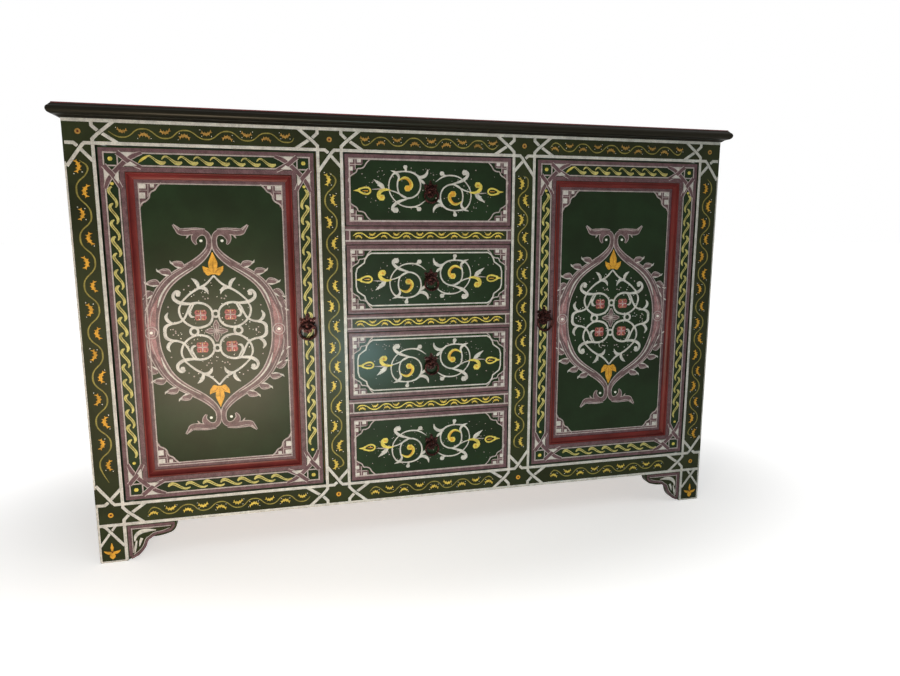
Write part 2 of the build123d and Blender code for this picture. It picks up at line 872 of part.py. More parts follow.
for row in range(drawer_count):
    name = f"drawer_{drawer_count - row}"
    low = rail_top + row * drawer_pitch + drawer_gap
    front_z = (low, low + drawer_front_height)
    side_z = (low, front_z[1] - drawer_side_drop)
    ply_z = (low + drawer_bottom_up, low + drawer_bottom_up + drawer_bottom_thickness)
    pull_z = (front_z[0] + front_z[1]) / 2
    tail_pitch = (side_z[1] - side_z[0]) / tail_count
    tail_middles = [side_z[0] + (n + 0.5) * tail_pitch for n in range(tail_count)]

    def tails(extra):
        """Draws the dovetails, seen from the side, each a wedge that is widest at its end."""
        root = side_y[0] + extra
        end = side_y[0] - tail_length - extra
        for middle_z in tail_middles:
            half_root = tail_root / 2 + extra
            half_end = half_root + tail_flare
            Polygon(
                (root, middle_z - half_root),
                (root, middle_z + half_root),
                (end, middle_z + half_end),
                (end, middle_z - half_end),
                align=None,
            )

    with BuildPart() as drawer_front:
        board((-drawer_half, drawer_half), (front, side_y[0]), front_z)
        fillet(drawer_front.faces().sort_by(Axis.Y)[0].edges(), drawer_front_round)
        for hand in (-1, 1):
            start = side_x[0] - joint_gap if hand > 0 else -drawer_half
            with BuildSketch(Plane.YZ.offset(start)):
                tails(joint_gap)
            extrude(amount=drawer_side_thickness + joint_gap, mode=Mode.SUBTRACT)
        board(
            (-side_x[0] - joint_gap, side_x[0] + joint_gap),
            (side_y[0] - drawer_groove_depth - joint_gap, side_y[0]),
            wider(ply_z, joint_gap),
            Mode.SUBTRACT,
        )
        with Locations(Location((0, front + drawer_front_thickness / 2, pull_z), (90, 0, 0))):
            Cylinder(pull_stud_radius + joint_gap, drawer_front_thickness, mode=Mode.SUBTRACT)
    save(drawer_front, f"{name}_front")

    with BuildPart() as drawer_sides:
        for hand in (-1, 1):
            board(on(hand, *side_x), side_y, side_z)
            with BuildSketch(Plane.YZ.offset(on(hand, *side_x)[0])):
                tails(0)
            extrude(amount=drawer_side_thickness)
            board(
                on(hand, side_x[0], side_x[0] + drawer_groove_depth + joint_gap),
                side_y,
                wider(ply_z, joint_gap),
                Mode.SUBTRACT,
            )
    save(drawer_sides, f"{name}_sides")

    with BuildPart() as drawer_back:
        board((-side_x[0], side_x[0]), drawer_back_y, (ply_z[1] + joint_gap, side_z[1]))
    save(drawer_back, f"{name}_back")

    with BuildPart() as drawer_bottom:
        ply_half = side_x[0] + drawer_groove_depth
        board((-ply_half, ply_half), side_y, ply_z)
        board((-side_x[0], side_x[0]), (side_y[0] - drawer_groove_depth, side_y[0]), ply_z)
    save(drawer_bottom, f"{name}_bottom")

    save(pull_plate(0, pull_z, drawer_pull, drawer_front_thickness), f"{name}_pull_plate")
    save(pull_ring(0, pull_z, drawer_pull), f"{name}_pull_ring")
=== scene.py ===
"""Dresses the painted sideboard: its finishes, its brushwork, its pulls and fixings, and a plain stage."""

import json
import math
import random

import bpy
import numpy
from bpy.props import FloatProperty, FloatVectorProperty, PointerProperty
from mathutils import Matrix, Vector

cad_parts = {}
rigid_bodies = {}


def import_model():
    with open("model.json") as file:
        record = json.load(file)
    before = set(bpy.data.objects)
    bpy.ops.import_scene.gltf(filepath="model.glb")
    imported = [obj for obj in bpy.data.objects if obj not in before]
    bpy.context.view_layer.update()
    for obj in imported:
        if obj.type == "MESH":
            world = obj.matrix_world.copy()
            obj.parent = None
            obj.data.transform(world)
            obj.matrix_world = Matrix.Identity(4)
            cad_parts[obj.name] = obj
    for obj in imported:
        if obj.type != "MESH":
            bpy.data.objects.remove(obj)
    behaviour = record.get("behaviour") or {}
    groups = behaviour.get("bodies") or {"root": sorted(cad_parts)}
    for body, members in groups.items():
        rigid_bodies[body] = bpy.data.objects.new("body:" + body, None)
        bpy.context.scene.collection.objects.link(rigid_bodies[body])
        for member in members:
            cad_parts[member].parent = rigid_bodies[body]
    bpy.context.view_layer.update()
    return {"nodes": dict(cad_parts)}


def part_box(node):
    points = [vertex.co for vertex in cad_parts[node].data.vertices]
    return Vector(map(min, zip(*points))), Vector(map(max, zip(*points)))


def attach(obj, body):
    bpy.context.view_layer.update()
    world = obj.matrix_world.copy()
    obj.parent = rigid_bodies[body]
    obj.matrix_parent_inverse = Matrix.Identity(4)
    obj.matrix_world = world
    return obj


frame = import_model()

bl_info = {
    "name": "Painted Sideboard",
    "version": (1, 0, 0),
    "blender": (4, 5, 0),
    "location": "View3D > Sidebar > Sideboard",
    "description": "Paints, fits and stages a Moroccan sideboard with zouaq brushwork",
    "category": "Object",
}

MM = 0.001


def linear(code):
    """The linear colour of an sRGB hex value."""
    channels = [int(code[place : place + 2], 16) / 255 for place in (1, 3, 5)]
    return tuple(c / 12.92 if c <= 0.04045 else ((c + 0.055) / 1.055) ** 2.4 for c in channels)


def colour(name, description, code):
    return FloatVectorProperty(
        name=name, description=description, default=linear(code), min=0, max=1, subtype="COLOR"
    )


def length(name, description, millimetres):
    return FloatProperty(
        name=name, description=description, default=millimetres * MM, min=0, precision=4, unit="LENGTH"
    )


def power(name, description, watts):
    return FloatProperty(name=name, description=description, default=watts, min=0, unit="POWER")


# ---------------------------------------------------------------- what a user would change


class SideboardColours(bpy.types.PropertyGroup):
    """The painter's colours"""

    ground: colour("Ground", "Green of the doors and drawers", "#112111")
    post_ground: colour("Post ground", "Olive green of the posts, rails and dividers", "#1f2413")
    top: colour("Top", "Black green of the top board", "#12110c")
    cream: colour("Cream", "Straps and scrolls", "#b3aca3")
    mauve: colour("Mauve", "Borders of the doors and drawers", "#5b4346")
    rose: colour("Rose", "Pointed ovals and their leaves", "#624c4d")
    pale: colour("Pale line", "Thin lines beside the mauve", "#9c8e89")
    pink: colour("Pink", "The ovals' sides", "#8a6363")
    coral: colour("Coral", "Petals of the small flowers", "#96504e")
    red: colour("Red", "Door mouldings, and marks inside the flowers", "#5a1f1e")
    # the rim line is partly painted highlight along the top's slope
    rim: colour("Rim", "Line along the top board's slope", "#743436")
    yellow: colour("Yellow", "Curls and buds", "#c0ac50")
    straw: colour("Straw", "Ropes of the doors", "#a99c5c")
    gold: colour("Gold", "Half flowers of the inner posts, lower rail and dividers", "#bfa248")
    # painted shade: gold darkened for the top rail, where less light falls
    amber: colour("Amber", "Half flowers of the top rail", "#9a7439")
    orange: colour("Orange", "Half flowers of the outer posts, palmettes and commas", "#c08a30")
    ochre: colour("Ochre", "Vines' stems", "#7d7138")
    white: colour("White", "Sprinkled dots, and the eyes of the ovals' curls", "#d6cfc4")


class SideboardBrush(bpy.types.PropertyGroup):
    """The widths of the painter's lines"""

    strap_width: length("Strap width", "Width of the cream straps", 6.6)
    border_width: length("Border width", "Width of the outer mauve border of a door", 7.6)
    line_width: length("Line width", "Width of the thin pale lines", 2.8)
    vine_width: length("Vine width", "Width of a vine's stem", 2.9)
    relief: length("Relief", "How far thick paint stands up", 0.12)


class SideboardStage(bpy.types.PropertyGroup):
    """The camera's lens, the lamps and the sky"""

    lens: FloatProperty(
        name="Lens", description="Focal length on a 36 mm sensor", default=26.44, min=1, unit="CAMERA"
    )
    key: power("Key light", "Power of the warm lamp at the lower left", 18.5)
    fill: power("Fill light", "Power of the large lamp above", 12.0)
    cool: power("Cool light", "Power of the small bluish lamp low in front", 12.0)
    sky: FloatProperty(name="Sky", description="Strength of the light from all around", default=0.13, min=0)


def colours():
    return bpy.context.scene.sideboard_colours


def brush(name):
    """One of the brush's widths, in millimetres."""
    return getattr(bpy.context.scene.sideboard_brush, name) / MM


# ---------------------------------------------------------------- places read from the frame, in millimetres


def edge(node, end, axis):
    """One side of a node's box: end 0 is the low one, and axis is 0, 1 or 2."""
    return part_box(node)[end][axis] / MM


FRONT = edge("left_front_post", 0, 1)
PANEL_FACE = edge("left_door_panel", 0, 1)
SIDE = edge("right_front_post", 1, 0)
POST_IN = edge("right_front_post", 0, 0)
POST_WIDTH = SIDE - POST_IN
INNER_OUT = edge("inner_posts", 1, 0)
INNER_IN = INNER_OUT - POST_WIDTH
TOP_RAIL = (edge("top_rail", 0, 2), edge("top_rail", 1, 2))
BOTTOM_RAIL = (edge("bottom_rail", 0, 2), edge("bottom_rail", 1, 2))
DOOR_OUT = edge("right_door_stiles", 1, 0)
DOOR_IN = edge("right_door_stiles", 0, 0)
DOOR_LOW = edge("right_door_stiles", 0, 2)
DOOR_HIGH = edge("right_door_stiles", 1, 2)
DRAWERS = ("drawer_1", "drawer_2", "drawer_3", "drawer_4")
DOORS = ("left_door", "right_door")

STRAP_INSET = 3.4  # from a board's edge to the middle of its strap
OVAL_HEIGHT = 511.0  # of the middle of a door's oval


# ---------------------------------------------------------------- materials


def add(tree, kind, inputs=None, **settings):
    """Adds a node. inputs gives each socket a value, or another node's output to link to it."""
    node = tree.nodes.new(f"ShaderNode{kind}")
    for name, value in settings.items():
        setattr(node, name, value)
    for socket, value in (inputs or {}).items():
        if isinstance(value, bpy.types.NodeSocket):
            tree.links.new(value, node.inputs[socket])
        else:
            node.inputs[socket].default_value = value
    return node


def rgba(tint, shade=1.0):
    """A colour for a socket, made lighter or darker."""
    return (*(min(1, c * shade) for c in tint), 1)


def grain(millimetres):
    """The scale of a noise whose marks are that far apart."""
    return 1 / (millimetres * MM)


def shader(name):
    """A new material, its node tree, its object coordinates and its Principled shader."""
    material = bpy.data.materials.new(name)
    material.use_nodes = True
    tree = material.node_tree
    tree.nodes.clear()
    place = add(tree, "TexCoord").outputs["Object"]
    surface = add(tree, "BsdfPrincipled")
    add(tree, "OutputMaterial", {"Surface": surface.outputs[0]})
    return material, tree, place, surface


def varnish(surface):
    """Old varnish, yellowed and mostly dulled by wear. The eye sees a broad soft sheen, and a thin
    remainder of the first gloss that mirrors a bright lamp."""
    surface.inputs["IOR"].default_value = 1.46
    surface.inputs["Specular IOR Level"].default_value = 0.1
    surface.inputs["Specular Tint"].default_value = rgba(linear("#ffe7bc"))
    surface.inputs["Coat Weight"].default_value = 0.07
    surface.inputs["Coat Roughness"].default_value = 0.2
    surface.inputs["Coat IOR"].default_value = 1.46


def brushed_paint(name, tint, along="Z", shade=(0.72, 1.25)):
    """Oil paint on planed wood, laid by brush along the board and varnished. The eye sees uneven
    coverage, fine brush marks 1 to 2 mm apart and a soft satin varnish, dull in places."""
    material, tree, place, surface = shader(name)
    stretch = {"X": (0.12, 1, 1), "Z": (1, 1, 0.12)}[along]
    grain_place = add(tree, "Mapping", {"Vector": place, "Scale": stretch}).outputs[0]
    bristles = {"Vector": grain_place, "Scale": grain(1.6), "Detail": 3, "Roughness": 0.6}
    marks = add(tree, "TexNoise", bristles)
    wear = {"Vector": place, "Scale": grain(143), "Detail": 5, "Roughness": 0.62}
    patches = add(tree, "TexNoise", wear)
    span = {"Value": patches.outputs[0], "From Min": 0.33, "From Max": 0.68}
    cover = add(tree, "MapRange", span, interpolation_type="SMOOTHSTEP")
    thin = add(tree, "Mix", {"Factor": cover.outputs[0]}, data_type="RGBA")
    thin.inputs["A"].default_value = rgba(tint, shade[0])
    thin.inputs["B"].default_value = rgba(tint, shade[1])
    streak = add(tree, "MapRange", {"Value": marks.outputs[0], "To Min": 0.8, "To Max": 1.2})
    coat = {0: thin.outputs["Result"], "Scale": streak.outputs[0]}
    tone = add(tree, "VectorMath", coat, operation="SCALE")
    tree.links.new(tone.outputs[0], surface.inputs["Base Color"])
    gloss = add(tree, "MapRange", {"Value": patches.outputs[0], "To Min": 0.28, "To Max": 0.42})
    tree.links.new(gloss.outputs[0], surface.inputs["Roughness"])
    varnish(surface)
    relief = add(tree, "Bump", {"Height": marks.outputs[0], "Distance": 0.12 * MM, "Strength": 0.6})
    tree.links.new(relief.outputs[0], surface.inputs["Normal"])
    return material


def stroke_paint(name, tint, spread=0.16):
    """Thick paint from a pointed brush, varnished over. Its load varies along a stroke every 10 mm
    or so, and small gaps let the ground darken it."""
    material, tree, place, surface = shader(name)
    reloads = {"Vector": place, "Scale": grain(10.5), "Detail": 4, "Roughness": 0.65}
    load = add(tree, "TexNoise", reloads)
    speckle = add(tree, "TexNoise", {"Vector": place, "Scale": grain(1.1), "Detail": 2})
    worn = add(tree, "Math", {0: load.outputs[0], 1: speckle.outputs[0]}, operation="MULTIPLY")
    amount = add(tree, "MapRange", {"Value": worn.outputs[0], "From Min": 0.14, "From Max": 0.34})
    tone = add(tree, "Mix", {"Factor": amount.outputs[0]}, data_type="RGBA")
    tone.inputs["A"].default_value = rgba(tint, 1 - 2.2 * spread)
    tone.inputs["B"].default_value = rgba(tint, 1 + spread)
    tree.links.new(tone.outputs["Result"], surface.inputs["Base Color"])
    surface.inputs["Roughness"].default_value = 0.38
    varnish(surface)
    relief = add(tree, "Bump", {"Height": speckle.outputs[0], "Distance": 0.08 * MM, "Strength": 0.5})
    tree.links.new(relief.outputs[0], surface.inputs["Normal"])
    return material


def planed_wood(name, early, late, along="X"):
    """Planed softwood, bare. The eye sees growth rings a few millimetres apart along the board, in
    groups 17 mm wide."""
    material, tree, place, surface = shader(name)
    stretch = {"X": (0.03, 1, 1), "Y": (1, 0.03, 1), "Z": (1, 1, 0.03)}[along]
    grain_place = add(tree, "Mapping", {"Vector": place, "Scale": stretch}).outputs[0]
    groups = {"Vector": grain_place, "Scale": grain(16.7), "Detail": 2, "Distortion": 0.4}
    rings = add(tree, "TexNoise", groups)
    turns = add(tree, "Math", {0: rings.outputs[0], 1: 9.0}, operation="MULTIPLY")
    wave = add(tree, "Math", {0: turns.outputs[0], 1: 1.0}, operation="PINGPONG")
    fibre = add(tree, "TexNoise", {"Vector": grain_place, "Scale": grain(1.1), "Detail": 3})
    tone = add(tree, "Mix", {"Factor": wave.outputs[0]}, data_type="RGBA")
    tone.inputs["A"].default_value = rgba(linear(early))
    tone.inputs["B"].default_value = rgba(linear(late))
    streak = add(tree, "MapRange", {"Value": fibre.outputs[0], "To Min": 0.82, "To Max": 1.15})
    streaked = {0: tone.outputs["Result"], "Scale": streak.outputs[0]}
    shade = add(tree, "VectorMath", streaked, operation="SCALE")
    tree.links.new(shade.outputs[0], surface.inputs["Base Color"])
    surface.inputs["Roughness"].default_value = 0.62
    relief = add(tree, "Bump", {"Height": fibre.outputs[0], "Distance": 0.2 * MM, "Strength": 0.5})
    tree.links.new(relief.outputs[0], surface.inputs["Normal"])
    return material


def metal(name, bright, dark, roughness, patch=6.25):
    """Metal with a patina that sits in patches of a few millimetres. The eye sees dull dark hollows and
    worn, smoother high spots."""
    material, tree, place, surface = shader(name)
    patina = {"Vector": place, "Scale": grain(patch), "Detail": 5, "Roughness": 0.7}
    patches = add(tree, "TexNoise", patina)
    amount = add(tree, "MapRange", {"Value": patches.outputs[0], "From Min": 0.44, "From Max": 0.72})
    tone = add(tree, "Mix", {"Factor": amount.outputs[0]}, data_type="RGBA")
    tone.inputs["A"].default_value = rgba(linear(dark))
    tone.inputs["B"].default_value = rgba(linear(bright))
    tree.links.new(tone.outputs["Result"], surface.inputs["Base Color"])
    worn = {"Value": patches.outputs[0], "To Min": roughness + 0.15, "To Max": roughness - 0.1}
    tree.links.new(add(tree, "MapRange", worn).outputs[0], surface.inputs["Roughness"])
    surface.inputs["Metallic"].default_value = 1.0
    relief = add(tree, "Bump", {"Height": patches.outputs[0], "Distance": 0.2 * MM, "Strength": 0.6})
    tree.links.new(relief.outputs[0], surface.inputs["Normal"])
    return material


# the painter's pots: each has a colour, how much its load varies, and its place in the order in which
# the paints are laid over each other
POTS = {
    "under": ("pale", 0.16, 0),
    "mauve": ("mauve", 0.2, 1),
    "rose": ("rose", 0.22, 1),
    "shade": ("post_ground", 0.16, 1),
    "ochre": ("ochre", 0.2, 1),
    "pink": ("pink", 0.22, 2),
    "coral": ("coral", 0.25, 2),
    "cream": ("cream", 0.16, 2),
    "pale": ("pale", 0.16, 3),
    "yellow": ("yellow", 0.2, 3),
    "straw": ("straw", 0.22, 3),
    "orange": ("orange", 0.2, 4),
    "gold": ("gold", 0.2, 4),
    # painted shade: the darker gold of the top rail
    "amber": ("amber", 0.2, 4),
    "red": ("red", 0.2, 5),
    "white": ("white", 0.1, 5),
    # the rim pot is partly painted highlight
    "rim": ("rim", 0.2, 5),
}
LEVEL_STEP = 0.1  # how much higher each place in the order lies, in millimetres
FIRST_LIFT = 0.4  # of the lowest strokes, in steps
HAIR = 0.02  # between crossing strokes of one paint, in steps, so that they don't share a surface
HAIRS = 12
ROOT = 0.15  # how far the back of a stroke reaches into the wood, in millimetres


def kept(name, make):
    """The material of that name, made when it is first asked for."""
    return bpy.data.materials.get(name) or make(name)


def paint(pot):
    """The paint in one of the pots."""
    source, spread, _ = POTS[pot]
    tint = getattr(colours(), source)
    return kept(f"{pot}_oil_paint", lambda name: stroke_paint(name, tint, spread))


def cast_iron():
    """Cast iron under an old brown patina: nearly black, with dusty red-brown high spots."""
    return kept("aged_cast_iron", lambda name: metal(name, "#502e2a", "#0e0806", 0.36, 3.33))


def zinc_plate():
    """Zinc-plated steel, dulled to a soft grey."""
    return kept("zinc_plated_steel", lambda name: metal(name, "#b4b2a8", "#77756c", 0.35))


# ---------------------------------------------------------------- brushwork


class Painting:
    """Brush strokes, sorted by paint, on one upright face. A point is (across, up) in millimetres from
    the painting's own place, and a painting made by at() draws turned over or on its side."""

    def __init__(self, strokes=None, place=(0.0, 0.0), ways=((1, 0), (0, 1))):
        self.strokes = {} if strokes is None else strokes
        self.place = place
        self.ways = ways

    def point(self, across, up):
        (ax, az), (ux, uz) = self.ways
        return (self.place[0] + across * ax + up * ux, self.place[1] + across * az + up * uz)

    def at(self, across, up, flip=1, rise=1, swap=False):
        """The same painting seen from another place. flip of -1 turns its first direction round, rise of
        -1 its second, and swap then changes the two over."""
        (ax, az), (ux, uz) = self.ways
        first, second = (ax * flip, az * flip), (ux * rise, uz * rise)
        if swap:
            first, second = second, first
        return Painting(self.strokes, self.point(across, up), (first, second))

    def four_ways(self):
        """The painting turned to face right, left, up and down."""
        return (
            self,
            self.at(0, 0, flip=-1),
            self.at(0, 0, swap=True),
            self.at(0, 0, rise=-1, swap=True),
        )

    def stroke(self, name, points, widths, closed=False, straight=False, level=None):
        """Adds a stroke through the points. widths is one for all of it, or several spread along it."""
        if isinstance(widths, (int, float)):
            widths = [widths] * len(points)
        elif len(widths) != len(points):
            steps = numpy.linspace(0, len(widths) - 1, len(points))
            widths = numpy.interp(steps, range(len(widths)), widths)
        placed = [self.point(*point) for point in points]
        level = POTS[name][2] if level is None else level
        self.strokes.setdefault(name, []).append((placed, list(widths), closed, straight, level))

    def line(self, name, start, end, width, level=None):
        """A straight stroke of one width."""
        self.stroke(name, (start, end), width, straight=True, level=level)

    def dot(self, name, across, up, radius, level=None):
        """One dab of a round brush. A small one has straight sides, which the eye can't tell."""
        ends = (across - radius, up), (across + radius, up)
        waists = (across - 0.6 * radius, up), (across + 0.6 * radius, up)
        widths = [0.5 * radius, 1.75 * radius, 1.75 * radius, 0.5 * radius]
        small = radius < 2.5
        self.stroke(name, [ends[0], *waists, ends[1]], widths, straight=small, level=level)

    def ring(self, name, across, up, radius, width):
        knots = 8
        turns = [math.tau * step / knots for step in range(knots)]
        points = [(across + radius * math.cos(t), up + radius * math.sin(t)) for t in turns]
        self.stroke(name, points, width, closed=True)

    def lay(self, prefix, body, face):
        """Makes a piece of each paint's strokes. face is the wood's surface, in millimetres."""
        for name, strokes in self.strokes.items():
            lay_paint(f"{prefix}_{name}", strokes, body, face, paint(name))


def lay_paint(name, strokes, body, face, material):
    """Turns strokes into one piece of thin raised paint that is rooted in the wood."""
    curve = blank_curve(name, "2D", 1, 1)
    curve.fill_mode = "NONE"
    lifts, end_lifts = [], []
    for number, (points, widths, closed, straight, level) in enumerate(strokes):
        spline = curve.splines.new("BEZIER")
        spline.bezier_points.add(len(points) - 1)
        spline.resolution_u = 1 if straight else 4
        spline.use_cyclic_u = closed
        handle = "VECTOR" if straight else "AUTO"
        for knot, (across, up), width in zip(spline.bezier_points, points, widths, strict=True):
            knot.co = (across * MM, up * MM, 0)
            knot.radius = width / 2
            knot.handle_left_type = knot.handle_right_type = handle
        lifts.append((level + FIRST_LIFT + HAIR * (number % HAIRS)) * LEVEL_STEP)
        if not closed:
            end_lifts += [lifts[-1]] * 2
    bpy.ops.object.convert(target="MESH")
    piece = bpy.context.object
    mesh = piece.data
    places = numpy.empty(3 * len(mesh.vertices))
    mesh.vertices.foreach_get("co", places)
    across, up, out = places.reshape(-1, 3).T / MM
    # the mesh of a curve has its strokes' ends first, from the last stroke to the first
    lift = numpy.array(end_lifts[::-1] + lifts)[shell_numbers(mesh)]
    height = lift + brush("relief") * (1 - numpy.exp(-numpy.maximum(out, 0)))
    behind = out < -0.01
    depth = numpy.where(behind, face + ROOT, face - height)
    mesh.vertices.foreach_set("co", numpy.column_stack((across, depth, up)).ravel() * MM)
    mesh.update()
    close_seams()
    give(piece, material)
    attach(piece, body)


def blank_curve(name, dimensions, radius, roundness):
    """A curve with no splines yet, round in section and closed at its ends. radius is in millimetres."""
    bpy.ops.object.select_all(action="DESELECT")
    bpy.ops.curve.primitive_bezier_curve_add(location=(0, 0, 0))
    bpy.context.object.name = name
    curve = bpy.context.object.data
    curve.splines.clear()
    curve.dimensions = dimensions
    curve.bevel_depth = radius * MM
    curve.bevel_resolution = roundness
    curve.use_fill_caps = True
    return curve


def close_seams():
    """Joins the ends of each line's skin to its sides, and smooths it but for its sharp edges."""
    bpy.ops.object.mode_set(mode="EDIT")
    bpy.ops.mesh.select_all(action="SELECT")
    bpy.ops.mesh.remove_doubles(threshold=1e-7)
    bpy.ops.object.mode_set(mode="OBJECT")
    bpy.ops.object.shade_smooth_by_angle(angle=math.radians(40))


def give(piece, material):
    """Makes that the piece's only material."""
    piece.data.materials.clear()
    piece.data.materials.append(material)


def shell_numbers(mesh):
    """Which shell each vertex belongs to: a shell's vertices are joined by edges and follow on."""
    ends = numpy.empty(2 * len(mesh.edges), dtype=int)
    mesh.edges.foreach_get("vertices", ends)
    ends = numpy.sort(ends.reshape(-1, 2))
    joined = numpy.zeros(len(mesh.vertices) + 1, dtype=int)
    numpy.add.at(joined, ends[:, 0] + 1, 1)
    numpy.add.at(joined, ends[:, 1] + 1, -1)
    starts = numpy.cumsum(joined)[:-1] == 0
    return numpy.cumsum(starts) - 1


def hand(seed):
    """A steady hand's small errors, the same at each run."""
    return random.Random(seed)


# ---------------------------------------------------------------- strapwork of the frame


def rail_crossing(art, half_height, width):
    """Two straps leave a post's line, cross, and end in the rail's lines. Drawn from the middle of the
    rail, on the post's line."""
    first = [(0, half_height), (0, half_height - 10), (10, 3), (48, -half_height)]
    second = [(0, -half_height), (0, 8 - half_height), (9, -5), (42, half_height)]
    art.stroke("cream", first, width, straight=True)
    art.stroke("shade", [(6, -8), (24, 8)], width + 3.2, straight=True, level=3)
    art.stroke("cream", second, width, straight=True, level=4)


def post_crossing(art, half_width, width):
    """Two straps leave a rail's line, cross on the post's axis, and end in the post's lines. Drawn from
    the post's axis, on the rail's line."""
    first = [(half_width, 0), (10, 0), (3, -6), (-half_width, -37)]
    second = [(-half_width, 0), (-10, 0), (-5, -5), (half_width - 1, -46)]
    art.stroke("cream", first, width, straight=True)
    art.stroke("shade", [(-9, 1), (9, -21)], width + 3.2, straight=True, level=3)
    art.stroke("cream", second, width, straight=True, level=4)


def small_rosette(art, name):
    """A ring round a dark red middle, where a post meets a rail."""
    art.ring(name, 0, 0, 3.9, 3.2)
    art.dot("red", 0, 0, 1.8)


def paint_strapwork():
    """The straps along the posts' and rails' edges, with their crossings and the rosettes between."""
    art = Painting()
    width = brush("strap_width")
    half_post = POST_WIDTH / 2 - STRAP_INSET
    posts = (SIDE - POST_WIDTH / 2, INNER_OUT - POST_WIDTH / 2)
    outer, inner, bay = POST_IN + STRAP_INSET, INNER_OUT - STRAP_INSET, INNER_IN + STRAP_INSET
    rim, rim_width, rim_short = SIDE - 1.6, 3.4, 34
    lap, rosette_gap, floor_gap = 8, 9, 2.5
    for flip in (-1, 1):
        half = art.at(0, 0, flip=flip)
        half.line("cream", (rim, BOTTOM_RAIL[1] + rim_short), (rim, TOP_RAIL[0] - rim_short), rim_width)
        for post in (outer, inner, bay):
            half.line("cream", (post, BOTTOM_RAIL[1] - lap), (post, TOP_RAIL[0] + lap), width)
        half.line("cream", (outer, floor_gap), (outer, BOTTOM_RAIL[0] + lap), width)
        for (low, high), rise in ((TOP_RAIL, 1), (BOTTOM_RAIL, -1)):
            middle = (low + high) / 2
            half_height = (high - low) / 2 - STRAP_INSET
            near, far = middle - rise * half_height, middle + rise * half_height
            short = 0 if rise > 0 else 3
            half.line("cream", (0, far), (SIDE - short, far), width)
            spans = ((0, posts[1] - rosette_gap), (posts[1] + rosette_gap, posts[0] - rosette_gap))
            for start, stop in spans:
                half.line("cream", (start, near), (stop, near), width)
            for axis in posts:
                post_crossing(half.at(axis, near, rise=rise), half_post, width)
                # the top rail's rosettes take the gold darkened as painted shade
                small_rosette(half.at(axis, middle), "amber" if rise > 0 else "orange")
            for post, way in ((outer, -1), (inner, 1), (bay, -1)):
                rail_crossing(half.at(post, middle, flip=way, rise=rise), half_height, width)
    art.lay("strapwork", "carcass", FRONT)


# ---------------------------------------------------------------- vines

# of each vine: its start, first crest, last crest, number of crests, side of the first crest, and end,
# in millimetres up the post or across the front
POST_VINES = (
    (186, 225, 857, 14, -1, 868),
    (176, 185, 840, 15, 1, 854),
    (188, 205, 840, 16, -1, 856),
    (183, 190, 835, 16, -1, 858),
)
TOP_RAIL_VINES = (
    (-665, -640, -316, 9, -1, -300),
    (-157, -150, 150, 9, -1, 162),
    (290, 302, 632, 10, 1, 642),
)
BOTTOM_RAIL_VINES = (
    (-645, -635, -310, 10, 1, -292),
    (-152, -140, 150, 9, 1, 160),
    (312, 322, 625, 9, 1, 640),
)


def half_flower(art, name, scale, rng):
    """A crescent flower in a vine's hollow, its back to the stem, with forked ends and small teeth. The
    first direction points at the stem."""
    grown = scale * rng.uniform(0.92, 1.08)
    lean = rng.uniform(-0.16, 0.16)

    def dab(points, widths, straight=False, pot=name):
        placed = [((across + lean * up) * grown, up * grown) for across, up in points]
        art.stroke(pot, placed, [width * grown for width in widths], straight=straight)

    dab([(-5, -11), (-0.8, -6.6), (1.4, 0), (-0.8, 6.6), (-5, 11)], [1.6, 4.2, 6.4, 4.2, 1.6])
    dab([(0.8, 0), (6.4, 0.4)], [4, 0.8], straight=True)
    for rise in (-1, 1):
        dab([(-3, 9 * rise), (-1.6, 13.4 * rise)], [3.4, 0.8], straight=True)
        dab([(-3.6, 9.6 * rise), (-8.4, 10.6 * rise)], [3, 0.8], straight=True)
        dab([(0, 5 * rise), (4.8, 7.2 * rise)], [3.6, 0.8], straight=True)
        dab([(-0.8, 3 * rise), (-4.6, 3.9 * rise)], [3, 0.8], straight=True)
    for across, up in ((6.5, -11), (6, 12), (-8.5, -14.5), (-8, 15)):
        if rng.random() < 0.45:
            art.dot("white", across * grown, up * grown, 0.95 * scale)


def vine(art, run, swing, stem, scale, seed, paints):
    """A wavy stem along the second direction, with a half flower in each hollow."""
    rng = hand(seed)
    start, first, last, count, side, stop = run
    step = (last - first) / (count - 1)
    reach = step * 0.27
    points, widths = [(-0.2 * side * swing, start)], [0.8]
    for number in range(count):
        crest = first + number * step + rng.uniform(-1.2, 1.2)
        out = side * swing * rng.uniform(0.9, 1.06)
        if crest - reach > start + 3:
            points.append((out * 0.78, crest - reach))
            widths.append(stem * 0.9)
        points.append((out, crest))
        widths.append(stem * 1.15)
        if crest + reach < stop - 3:
            points.append((out * 0.78, crest + reach))
            widths.append(stem * 0.85)
        flower = art.at(-0.36 * side * swing, crest + rng.uniform(-2, 2), flip=side)
        half_flower(flower, paints[1], scale, rng)
        side = -side
    points.append((0.1 * side * swing, stop))
    widths.append(0.8)
    art.stroke(paints[0], points, widths)


POST_SWING = 12.2  # how far a post's vine swings from its axis
RAIL_SWING = 9.2


def paint_frame_vines():
    """The vines of the four posts and of the two rails, between the crossings."""
    art = Painting()
    stem = brush("vine_width")
    flowers = ("orange", "gold", "gold", "orange")
    lefts = (-SIDE, -INNER_OUT, INNER_IN, POST_IN)
    for number, (left, run, flower) in enumerate(zip(lefts, POST_VINES, flowers, strict=True)):
        post = art.at(left + POST_WIDTH / 2, 0)
        vine(post, run, POST_SWING, stem, 1.0, number, ("ochre", flower))
    # the top rail's flowers take the gold darkened as painted shade
    rails = ((TOP_RAIL, TOP_RAIL_VINES, "amber"), (BOTTOM_RAIL, BOTTOM_RAIL_VINES, "gold"))
    for rail, runs, flower in rails:
        for number, run in enumerate(runs):
            band = art.at(0, sum(rail) / 2, swap=True)
            vine(band, run, RAIL_SWING, stem * 0.85, 0.8, 10 + number, ("ochre", flower))
    art.lay("frame_vines", "carcass", FRONT)


